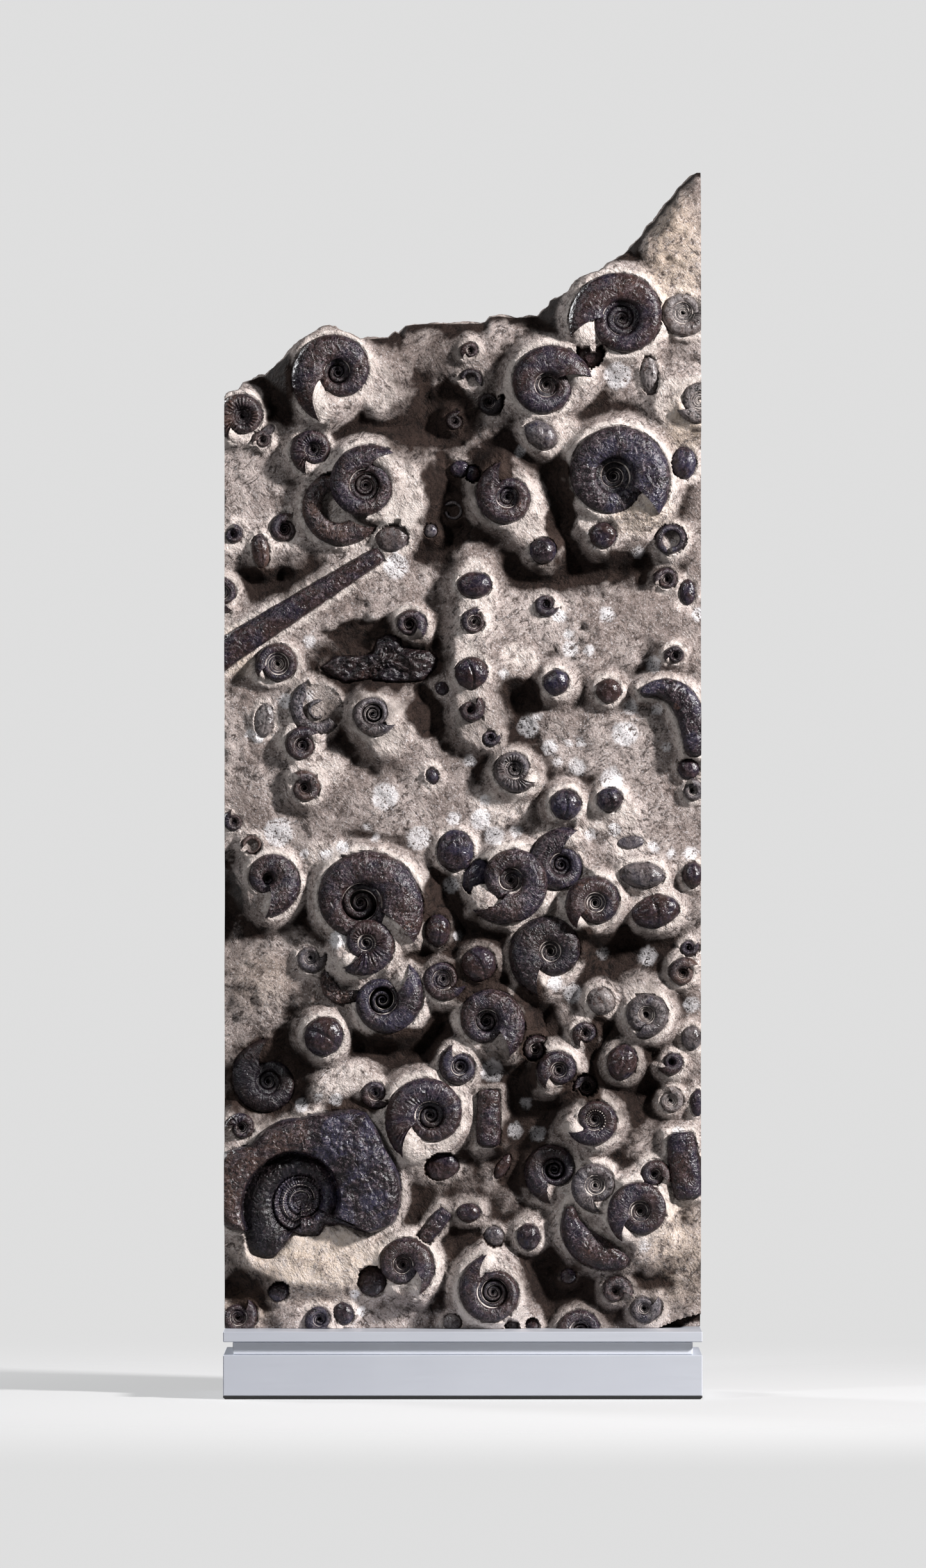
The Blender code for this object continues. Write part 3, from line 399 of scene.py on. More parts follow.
COILS = numbered(
    "ammonite_{:02d}",
    Coil(167, 1129, 1, 200, 58, 1.83, 20, 30, 16, S, DARK, 0.3, 2.5, sink=4),
    Coil(-131, 1073, 1, 251, 56, 2.2, 14.5, 34, 16, R, DARK, 0.4, lip=58, ahead=34),
    Coil(88, 1059, -1, 10, 49, 1.95, 13.5, 32, 15, S, DARK, 0.4),
    Coil(248, 1043, -1, 200, 26, 1.5, 10, 34, 9, R, WORN, 0.6),
    Coil(-231, 1027, 1, 240, 29, 1.62, 10.5, 22, 12, B, BROWN),
    Coil(-157, 992, 1, 255, 27, 1.84, 8.5, 22, 10, B, DARK, 0.3),
    Coil(158, 964, -1, 320, 63, 1.69, 21, 38, 18, R, BLUE, 0.3, 2.6, lip=14, ahead=50, sink=10),
    Coil(-102, 954, -1, 48, 46, 1.8, 17, 36, 14, R, DARK, 0.5, lip=34, ahead=64, sink=4),
    Coil(47, 942, -1, 100, 38, 1.9, 12, 34, 14, S, DARK, 0.4),
    Coil(-56, 809, -1, 318, 20, 2.0, 7, 20, 10, S, DARK, 0.5),
    Coil(-194, 767, 1, 215, 25, 1.45, 12, 20, 11, S, DARK, 0.6),
    Coil(-94, 715, 1, 335, 26, 1.79, 12, 34, 9, F, GREY, 0.8),
    Coil(-169, 682, -1, 35, 22, 1.8, 8, 24, 9, S, DARK, 0.4),
    Coil(54, 657, 1, 330, 27, 1.8, 10, 26, 11, B, GREY, 0.7),
    Coil(-166, 637, 1, 125, 20, 1.83, 6.5, 26, 8, S, BROWN),
    Coil(103, 557, -1, 63, 41, 2.1, 12, 20, 13, S, BLUE, 0.4),
    Coil(50, 541, -1, 218, 51, 2.0, 14, 34, 15, R, DARK, 0.6, lip=40),
    Coil(-204, 542, -1, 265, 42, 2.6, 7, 28, 14, R, DARK),
    Coil(-107, 517, -1, 323, 71, 2.2, 22, 34, 18, R, DARK, 0.9, lip=16, ahead=30, sink=5),
    Coil(139, 517, 1, 235, 34, 1.6, 11, 34, 14, S, DARK, 0.5),
    Coil(-101, 475, -1, 225, 37, 1.91, 10, 40, 11, B, DARK, 0.9),
    Coil(92, 466, 1, 255, 50, 1.95, 12, 24, 15, R, DARK, 0.5, shade=0.6),
    Coil(-21, 437, 1, 345, 25, 1.65, 11, 30, 8, F, DARK, 0.8),
    Coil(-84, 415, 1, 55, 48, 2.3, 16, 30, 13, S, BLUE, 1.0, lip=30, ahead=30),
    Coil(192, 400, -1, 240, 25, 1.25, 9, 30, 12, S, GREY, 0.6),
    Coil(25, 393, -1, 303, 45, 2.1, 13, 28, 15, R, DARK, 0.6),
    Coil(-3, 345, -1, 107, 25, 1.85, 9, 26, 10, S, BLUE, 0.6),
    Coil(101, 342, 1, 235, 25, 1.75, 8.5, 32, 11, S, DARK, 0.5),
    Coil(-204, 329, -1, 88, 46, 2.0, 14, 4, 11, S, DARK, 0.3, lip=40, shade=0.9),
    Coil(-34, 294, 1, 237, 53, 2.05, 16, 36, 14, F, DARK, 0.6, lip=34),
    Coil(138, 290, -1, 205, 31, 1.95, 11, 36, 10, K, DARK, 0.4),
    Coil(96, 237, 1, 265, 37, 2.1, 13, 10, 12, S, DARK, 0.4, shade=0.4),
    Coil(139, 221, 1, 282, 29, 1.6, 11, 28, 9, F, GREY, 0.8),
    Coil(186, 194, 1, 240, 37.5, 1.6, 12, 36, 14, S, DARK, 0.4, 2.8, lip=34),
    Coil(-63, 138, -1, 298, 37, 1.9, 11, 32, 12, S, DARK, 0.5, lip=50),
    Coil(32, 109, -1, 98, 41, 1.8, 17, 38, 13, S, DARK, 1.0, lip=40, ahead=24),
)

# Coiled shells that are too small for a node of their own, fused to the rock in the solids.
SMALL_COILS = (
    Coil(-210, 1002, 1, 200, 12, 1.8, 4.5, 18, 6, S, BROWN, 0.5),
    Coil(-187, 909, -1, 60, 18, 1.8, 7, 9, 8, S, DARK),
    Coil(-130, 934, 1, 330, 46, 1.55, 19, 21, 12, R, BROWN, shown=250, ahead=20),
    Coil(-241, 903, 1, 90, 12, 1.7, 4, 14, 7, S, DARK),
    Coil(-252, 842, 1, 300, 22, 1.7, 8, 16, 9, S, DARK, 0.6),
    Coil(-8, 1022, -1, 60, 12, 1.8, 4, 3, 6, S, DARK, shade=0.8),
    Coil(28, 1042, 1, 30, 16, 1.8, 5.5, 4, 8, S, DARK, 0.2, shade=0.8),
    Coil(7, 1066, -1, 330, 14, 1.7, 6, 8, 6, R, DARK, shown=200, ahead=30, shade=0.8),
    Coil(219, 898, 1, 262, 17.5, 1.2, 9.5, 20, 8, S, BLUE, shown=350, ahead=0, sink=0),
    Coil(8, 1096, 1, 225, 11.5, 1.9, 4, 14, 6, B, DARK, 0.6),
    Coil(-10, 928, 1, 150, 11, 1.3, 7, 13, 2.5, S, GREY, shown=330, ahead=0, sink=0),
    Coil(231, 1136, 1, 20, 29, 1.6, 12, 20, 9, F, WORN, 0.8),
    Coil(214, 856, 1, 200, 14.5, 1.7, 6, 12, 7, S, DARK, 0.7),
    Coil(223, 776, 1, 210, 12.5, 1.8, 4.5, 26, 8, B, BLUE, 0.5),
    Coil(87, 830, 1, 350, 15, 1.9, 5, 13, 8, S, DARK),
    Coil(12, 811, -1, 60, 15.5, 1.6, 7, 28, 7, F, DARK, 0.8),
    Coil(8, 719, 1, 60, 17, 2.0, 4, 27, 11, S, DARK),
    Coil(29, 690, 1, 20, 11, 1.7, 4, 22, 7, S, DARK),
    Coil(-152, 721, -1, 110, 31, 1.3, 16, 19, 8, R, GREY, shown=215, ahead=10, sink=0),
    Coil(-152, 719, -1, 60, 12, 1.4, 7, 19, 5, R, GREY, shown=250, ahead=0, sink=0),
    Coil(241, 634, 1, 100, 14, 1.8, 4.5, 16, 8, S, GREY, 0.4),
    Coil(-240, 602, -1, 100, 13, 1.8, 4.5, 12, 7, B, DARK, 0.4),
    Coil(-221, 577, 1, 200, 11.5, 1.3, 6.5, 14, 5, S, BROWN, shown=340, ahead=0, sink=0),
    Coil(-160, 459, 1, 20, 18, 1.7, 7, 20, 7, B, GREY, 0.7),
    Coil(-232, 281, 1, 180, 18, 1.8, 6, 20, 9, B, DARK, 0.5),
    Coil(-92, 317, 1, 330, 18, 1.7, 7, 22, 7, S, DARK, 0.4),
    Coil(-236, 82, 1, 60, 22, 1.7, 9, 10, 8, F, DARK, 0.7),
    Coil(-150, 80, 1, 330, 20, 1.8, 7, 18, 9, S, BLUE, 0.4),
    Coil(76, 363, -1, 40, 16, 1.7, 6, 12, 7, S, DARK, 0.6),
    Coil(129, 380, 1, 250, 16, 1.8, 5.5, 22, 8, B, DARK, 0.6),
    Coil(130, 324, 1, 200, 15, 1.7, 6, 8, 7, S, DARK, 0.5),
    Coil(218, 309, 1, 100, 15.5, 1.6, 6.5, 14, 6, S, WORN, 0.8),
    Coil(201, 232, -1, 330, 19, 1.8, 6, 24, 9, S, DARK, 0.3),
    Coil(160, 110, -1, 340, 19, 1.9, 5, 18, 9, R, BROWN),
    Coil(190, 92, 1, 40, 20, 1.8, 6, 16, 9, R, GREY, 0.3),
    Coil(124, 67, 1, 200, 27, 1.7, 12, 14, 10, S, DARK, 0.7),
    Coil(231, 443, -1, 30, 19, 1.9, 6, 20, 10, S, BROWN, 0.3),
    Coil(237, 470, 1, 30, 12, 1.9, 4, 13, 6, S, DARK),
    Coil(219, 350, -1, 200, 16, 2.0, 4, 20, 10, S, DARK),
)

ROUND_SHELLS = numbered(
    "round_shell_{}",
    Dome(108, 620, 16, 16.5, 0, 30, 14, 0.7, BLUE),
    Dome(154, 625, 13.5, 13, 20, 28, 13, 1.0, BLUE),
    Dome(-8, 571, 19, 22, 0, 18, 12, 0.5, BLUE),
    Dome(188, 546, 24, 13.5, -4, 28, 13, 0.3, GREY),
    Dome(202, 508, 25, 17, 12, 26, 12, 1.0, DARK),
    Dome(-26, 488, 13, 17, 0, 26, 14, 0.4, DARK),
    Dome(17, 453, 18, 18, 30, 30, 13, 0.6, DARK),
    Dome(-146, 377, 21, 20, 60, 30, 14, 0.8, DARK),
)

SMALL_DOMES = (
    Dome(-212, 886, 9, 18, 8, 16, 8, 0.4, BROWN), Dome(-74, 899, 17, 14, 10, 24, 9, 0.5, GREEN),
    Dome(-34, 907, 7, 7, 0, 18, 5, 0.0, GREY), Dome(-3, 972, 10, 9, 0, 8, 7, 0.3, DARK),
    Dome(11, 967, 8, 9, 20, 7, 6, 0.3, DARK), Dome(84, 886, 14, 14, 30, 26, 12, 0.2, BLUE),
    Dome(82, 1007, 19, 14, -35, 28, 12, 0.5, GREY), Dome(134, 1094, 14, 16, 0, 12, 10, 0.3, DARK),
    Dome(196, 1070, 9, 21, 5, 16, 7, 0.3, WORN), Dome(147, 902, 14, 14, 60, 30, 10, 0.8, DARK),
    Dome(236, 843, 8, 14, 0, 10, 7, 0.0, DARK), Dome(232, 978, 13, 17, 0, 18, 9, 0.5, BLUE),
    Dome(98, 748, 13.5, 13.5, 20, 28, 12, 0.7, BLUE), Dome(153, 739, 13, 13, 50, 22, 10, 0.5, DARK),
    Dome(12, 850, 18, 14, 0, 28, 11, 0.5, DARK), Dome(9, 758, 17, 17, 15, 28, 12, 0.9, DARK),
    Dome(-208, 708, 10, 18, -6, 14, 6, 0.6, WORN), Dome(-22, 742, 7, 7, 0, 16, 6, 0.0, DARK),
    Dome(237, 657, 11, 11, 0, 16, 8, 0.4, DARK), Dome(241, 546, 10, 14, 0, 18, 12, 0.4, DARK),
    Dome(14, 545, 12, 19, -28, 18, 9, 0.3, BLUE), Dome(-32, 650, 6, 9, 20, 14, 5, 0.0, BLUE),
    Dome(-95, 120, 15, 16, 0, 14, 9, 0.4, DARK), Dome(-22, 240, 18, 14, 15, 8, 7, 0.2, DARK),
    Dome(-193, 109, 11, 10, 30, 14, 7, 0.4, BLUE), Dome(-11, 77, 10, 9, 0, 16, 7, 0.4, WORN),
    Dome(145, 414, 14, 15, 30, 24, 8, 0.9, WORN), Dome(167, 350, 15.5, 19, -15, 26, 13, 0.6, DARK),
    Dome(240, 375, 10, 13, 0, 18, 9, 0.4, GREY), Dome(246, 307, 7, 14, 0, 14, 7, 0.0, DARK),
    Dome(33, 167, 10, 11, 30, 16, 6, 0.5, GREY), Dome(69, 167, 12.5, 14, 10, 22, 12, 0.2, BLUE),
    Dome(6, 192, 12.5, 10, 0, 20, 9, 0.2, DARK), Dome(42, 240, 14, 6, 60, 6, 5, 0.0, DARK),
    Dome(111, 125, 8, 8, 0, 5, 4, 0.3, DARK), Dome(52, 73, 7, 6, 0, 14, 5, 0.3, WORN),
    Dome(73, 74, 7, 7, 0, 8, 5, 0.2, DARK), Dome(176, 580, 14, 7, 5, 15, 4, 0.0, GREY),
    Dome(-125, 86, 10, 12, 20, 14, 7, 0.3, BLUE), Dome(-205, 1012, 9, 5, 35, 17, 4, 0.0, GREEN),
)

RIBBONS = (
    Ribbon("orthocone_long", ((-268, 767.5), (-180, 823.5), (-86, 883)), (16.5, 13, 9), 22, 12, DARK),
    Ribbon("orthocone_upright", ((27.5, 321), (27, 292), (27, 262)), (11.5, 12.5, 12.5), 20, 12, DARK),
    Ribbon("orthocone_thick", ((228, 276), (232, 242), (237, 207)), (14, 17, 15), 22, 14, DARK),
    Ribbon(
        "body_chamber_right",
        ((186, 737), (203, 744), (222, 739), (236, 724), (242, 700), (243, 671)),
        (4, 9, 14, 15, 14, 9), 26, 13, BLUE,
    ),
    Ribbon(
        "body_chamber_low",
        ((112, 199), (113, 176), (126, 158), (149, 146), (174, 140)),
        (5, 13, 18, 17, 6), 22, 15, DARK,
    ),
)
SMALL_RIBBONS = (
    Ribbon("r", ((-42, 163), (-30, 178), (-17, 194)), (8, 9, 8), 18, 8, DARK, 0.8),
)


@dataclass(frozen=True)
class Fragment:
    """An angular piece of shell, by its corners, and how much painted shade darkens it."""

    name: str
    corners: tuple
    seat: float
    thick: float
    tone: Tone = Tone.DARK
    shade: float = 0.0

    def outline(self) -> np.ndarray:
        """Closed outline: the corners."""
        return np.array(self.corners, float)


FRAGMENTS = (
    Fragment("f", (
        (-150, 764), (-138, 753), (-124, 748), (-100, 751), (-72, 748), (-41, 750), (-30, 762), (-25, 773),
        (-34, 781), (-60, 785), (-66, 794), (-78, 799), (-90, 793), (-94, 779), (-112, 775), (-134, 776),
    ), 7, 7, DARK, 0.75),
    Fragment("f", ((-145, 447), (-150, 434), (-146, 420), (-130, 410), (-108, 414), (-104, 424), (-126, 424),
                   (-136, 436)), 18, 9, BROWN),
)


# Broad rises of the ground, or hollows where the rise is negative: centre, half sizes and rise.
SWELLS = (
    (-192, 1058, 24, 24, -9), (-40, 1035, 46, 40, -11), (-24, 935, 22, 45, -9),
    (103, 935, 13, 48, -12), (120, 858, 70, 15, -7), (-205, 857, 34, 14, -11),
    (-80, 765, 62, 24, -9), (-22, 735, 24, 38, -9), (66, 735, 18, 16, -8),
    (-240, 520, 18, 48, -10), (-208, 335, 50, 50, -14), (76, 385, 14, 84, -9),
    (98, 112, 44, 30, -11), (-22, 510, 24, 40, -10), (18, 440, 38, 36, -10),
    (120, 322, 26, 24, -8), (-60, 372, 60, 24, -8), (150, 470, 44, 24, -7),
    (92, 262, 24, 30, -8), (38, 255, 38, 50, -5), (208, 320, 30, 40, -6),
    (-232, 118, 24, 22, -6), (150, 378, 12, 24, -9), (128, 604, 16, 18, -6),
    (-76, 1075, 24, 38, 12), (-58, 955, 24, 34, 12), (78, 930, 12, 42, 10),
    (100, 1012, 34, 26, 8), (224, 1030, 34, 38, 14), (165, 898, 54, 22, 10),
    (16, 790, 26, 88, 11), (42, 772, 18, 16, 7), (-90, 618, 108, 38, 5),
    (222, 1190, 34, 60, 8), (150, 560, 40, 20, 5), (218, 560, 26, 16, 8),
    (-150, 146, 58, 26, 16), (-148, 320, 50, 18, 12), (-152, 420, 20, 34, 8),
    (-214, 440, 34, 34, 8), (192, 150, 40, 34, 7), (176, 432, 30, 16, 6),
    (174, 268, 28, 30, 7), (-180, 82, 20, 24, 7), (172, 690, 50, 28, 5),
    (-200, 640, 28, 40, 5), (-52, 690, 18, 26, 8), (-190, 735, 40, 24, 4),
)

# Places that were chiselled roughly, and places where the rock is tan: centre and half sizes.
CHISELLED = (
    (-230, 690, 30, 55), (-215, 435, 34, 38), (222, 1210, 36, 70), (226, 150, 34, 55),
    (110, 800, 60, 40), (-120, 835, 60, 20), (40, 600, 40, 20), (-30, 350, 30, 16),
)
TAN_PLACES = (
    (-156, 140, 80, 40), (228, 150, 34, 60, 0.8), (-212, 437, 34, 34, 0.4), (185, 925, 34, 22),
    (222, 1195, 34, 70), (-238, 780, 20, 26), (235, 1020, 22, 34), (-225, 100, 26, 26),
)

# Mounds of smoothed rock beside the shells: centre, half sizes, tilt and relief of the top.
MOUNDS = (
    (-66, 944, 20, 34, 0, 35), (-94, 1064, 16, 26, 20, 30), (-78, 700, 22, 24, 0, 28),
    (62, 930, 18, 30, 10, 30), (14, 836, 15, 36, 0, 27), (10, 775, 14, 44, 0, 27),
    (98, 1006, 24, 18, -20, 26), (160, 914, 34, 12, 0, 30), (14, 712, 17, 28, 15, 26),
    (219, 898, 9, 9, 0, 24), (-156, 147, 66, 26, 0, 31), (34, 84, 30, 12, 0, 26),
    (150, 610, 30, 12, 0, 22), (228, 1040, 22, 24, 0, 30), (-128, 330, 26, 9, 20, 22),
    (170, 1100, 30, 14, 0, 22), (-20, 130, 10, 14, 0, 18), (-136, 566, 24, 10, 0, 22),
    (-215, 770, 12, 16, 0, 16), (196, 160, 24, 14, 20, 28), (-60, 250, 26, 10, 0, 26),
    (190, 420, 18, 10, 0, 24), (40, 620, 26, 14, 10, 16), (-150, 655, 18, 14, 0, 20),
    (60, 770, 12, 16, 20, 18),
)

# Places painted with shade, where the ground is also lowered: centre, half sizes and perhaps a strength.
SHADE_PAINTED_PLACES = (
    (-188, 1058, 16, 36, 0.95), (-26, 1028, 50, 38), (-20, 935, 26, 62), (101, 930, 15, 60),
    (146, 868, 96, 14, 0.75),
    (-205, 856, 32, 15), (-84, 770, 76, 36), (-42, 716, 20, 26, 0.85), (67, 736, 18, 18), (-247, 520, 14, 44),
    (-204, 332, 52, 52), (72, 384, 15, 84), (95, 124, 40, 38, 0.75), (-230, 108, 22, 34), (34, 978, 22, 28),
    (-62, 372, 60, 18), (20, 430, 40, 30), (122, 322, 26, 20), (60, 250, 34, 40), (-24, 512, 24, 34),
    (140, 378, 12, 24), (150, 470, 44, 20), (-120, 300, 26, 16), (-110, 800, 40, 14),
    (-30, 1075, 80, 60, 0.45), (-52, 1005, 40, 40, 0.5), (20, 960, 60, 70, 0.45), (130, 864, 120, 34, 0.4),
    (150, 110, 110, 60, 0.5), (0, 200, 90, 60, 0.42), (-100, 740, 110, 60, 0.4), (30, 700, 70, 60, 0.4),
    (-130, 640, 100, 60, 0.2), (-235, 480, 30, 110, 0.4), (0, 470, 60, 60, 0.6), (170, 460, 80, 60, 0.4),
    (60, 330, 60, 80, 0.5),
    (-190, 860, 60, 34, 0.5), (-220, 110, 40, 40, 0.6), (170, 330, 60, 70, 0.45), (60, 270, 50, 60, 0.45),
)

# White patches of the rock: centre and radius.
WHITE_PATCHES = (
    (-161, 791, 7), (-186, 728, 8), (-161, 734, 5), (-223, 694, 5), (-175, 717, 3), (-70, 870, 13),
    (152, 819, 8), (133, 782, 6), (111, 798, 6), (113, 783, 8), (43, 757, 5), (170, 694, 13),
    (69, 702, 11), (176, 722, 8), (124, 685, 5), (91, 680, 8), (119, 660, 8), (8, 666, 6),
    (156, 647, 12), (214, 680, 5), (111, 684, 4), (204, 720, 6), (79, 712, 4), (248, 820, 7),
    (200, 767, 8), (-81, 628, 14), (-193, 591, 15), (-46, 585, 12.5), (-12, 536, 8.5), (-9, 605, 7),
    (-126, 575, 7), (-166, 568, 5), (-92, 585, 4), (-101, 596, 3.5), (-131, 479, 9), (-144, 568, 6),
    (19, 604, 11), (33, 587, 10), (121, 659, 8), (100, 665, 5), (56, 592, 6), (134, 589, 6),
    (159, 594, 7), (148, 463, 6), (194, 461, 10), (97, 433, 8), (115, 422, 10), (23, 625, 5),
    (200, 576, 6), (239, 569, 7), (219, 569, 5), (-5, 482, 5), (-169, 304, 7), (-152, 313, 5),
    (-133, 311, 7), (-113, 106, 5), (-106, 88, 5), (163, 1070, 14), (60, 990, 6), (184, 885, 6),
    (79, 274, 8), (55, 278, 8), (66, 307, 6), (226, 276, 6), (240, 410, 8), (-73, 893, 9), (101, 818, 7),
    (31, 341, 12), (191, 156, 6), (-215, 690, 6),
)


def distance_to(outline: np.ndarray, points: np.ndarray) -> np.ndarray:
    """Distances from points to a closed outline.

    Args:
        outline: corners, one in a row.
        points: the places asked for, one in a row.

    Returns:
        One distance for each point, negative inside the outline.
    """
    ends = np.roll(outline, -1, axis=0)
    side = ends - outline
    away = points[:, None, :] - outline[None]
    along = (away * side).sum(-1) / np.maximum((side ** 2).sum(-1), 1e-9)
    foot = np.clip(along, 0.0, 1.0)[..., None] * side
    nearest = np.linalg.norm(away - foot, axis=-1).min(1)
    spans = (outline[None, :, 1] > points[:, None, 1]) != (ends[None, :, 1] > points[:, None, 1])
    rise = np.where(np.abs(side[:, 1]) < 1e-9, 1e-9, side[:, 1])
    crossing = outline[None, :, 0] + side[None, :, 0] * (points[:, None, 1] - outline[None, :, 1]) / rise
    inside = (spans & (crossing > points[:, None, 0])).sum(1) % 2 == 1
    return np.where(inside, -nearest, nearest)


def placed(centre: tuple, angles: np.ndarray, reach: np.ndarray) -> np.ndarray:
    """Points round a centre, one in a row, by direction in degrees and distance."""
    turned = np.radians(angles)
    return np.stack([centre[0] + reach * np.cos(turned), centre[1] + reach * np.sin(turned)], 1)


def smooth_max(one: np.ndarray, other: np.ndarray, blend: float) -> np.ndarray:
    """The higher of two reliefs, rounded where they meet."""
    meet = np.maximum(blend - np.abs(one - other), 0.0) / blend
    return np.maximum(one, other) + meet ** 2 * blend / 4.0


def smooth_step(low: float, high: float, values: np.ndarray) -> np.ndarray:
    """0 below low, 1 above high, and an even rise between them."""
    part = np.clip((values - low) / (high - low), 0.0, 1.0)
    return part * part * (3.0 - 2.0 * part)


def fractal(x: float, y: float, z: float, octaves: int = 4) -> float:
    """Fractal noise from about -1 to 1 at a place."""
    return noise.fractal(Vector((x, y, z)), NOISE_FALL, NOISE_STEP, octaves)


def roughness(points: np.ndarray, span: float, seed: float, octaves: int = 3) -> np.ndarray:
    """Fractal noise from about -1 to 1 at each point, with features of a span."""
    return np.array([fractal(x / span, z / span, seed, octaves) for x, z in points])


def in_places(points: np.ndarray, places: tuple) -> np.ndarray:
    """How far each point is within a list of oval places, from 0 to 1.

    Args:
        points: places on the front, one in a row, in millimetres.
        places: rows of a centre, half sizes and perhaps an amount.

    Returns:
        One share for each point.
    """
    found = np.zeros(len(points))
    for x, z, half_x, half_z, *amount in places:
        away = ((points[:, 0] - x) / half_x) ** 2 + ((points[:, 1] - z) / half_z) ** 2
        found = np.maximum(found, np.exp(-away ** 2) * (amount[0] if amount else 1.0))
    return found


GIANT_CENTRE = (-169.0, 204.0)
GIANT_SEAT = 24.0
GIANT_EDGE = (
    (-14, 99), (0, 104), (15, 106), (33, 106), (47, 112), (54, 115), (62, 110), (73, 98), (90, 88),
    (104, 88), (117, 85), (132, 79), (148, 97), (180, 92), (197, 86), (209, 67), (226, 77), (243, 68),
    (254, 34), (276, 37), (297, 40), (315, 35), (330, 48), (334, 78),
)


def along_pairs(pairs: tuple, angles: np.ndarray) -> np.ndarray:
    """Values in directions, along a closed list of (direction, value) pairs.

    Args:
        pairs: directions in degrees and values, in order.
        angles: directions in degrees.

    Returns:
        One value for each direction.
    """
    places = np.array([pair[0] for pair in pairs], float)
    values = np.array([pair[1] for pair in pairs], float)
    wrapped = (np.asarray(angles, float) - places[0]) % 360.0 + places[0]
    return np.interp(wrapped, np.append(places, places[0] + 360.0), np.append(values, values[0]))


def giant_outline() -> np.ndarray:
    """Closed outline of the giant.

    Returns:
        Its points, one in a row.
    """
    angles = np.arange(0.0, 360.0, 4.0)
    return placed(GIANT_CENTRE, angles, along_pairs(GIANT_EDGE, angles))


@dataclass
class Seat:
    """The place of a shell in the rock: its outline, its relief and how the rock treats it.

    bare is how far from the outline the smoothed cream rock starts, in millimetres.
    """

    outline: np.ndarray
    level: float
    main: bool
    hollow: float = 2.4
    slope: float = PEDESTAL_SLOPE
    shell: bool = True
    footing: np.ndarray | None = None
    bare: float = 0.0


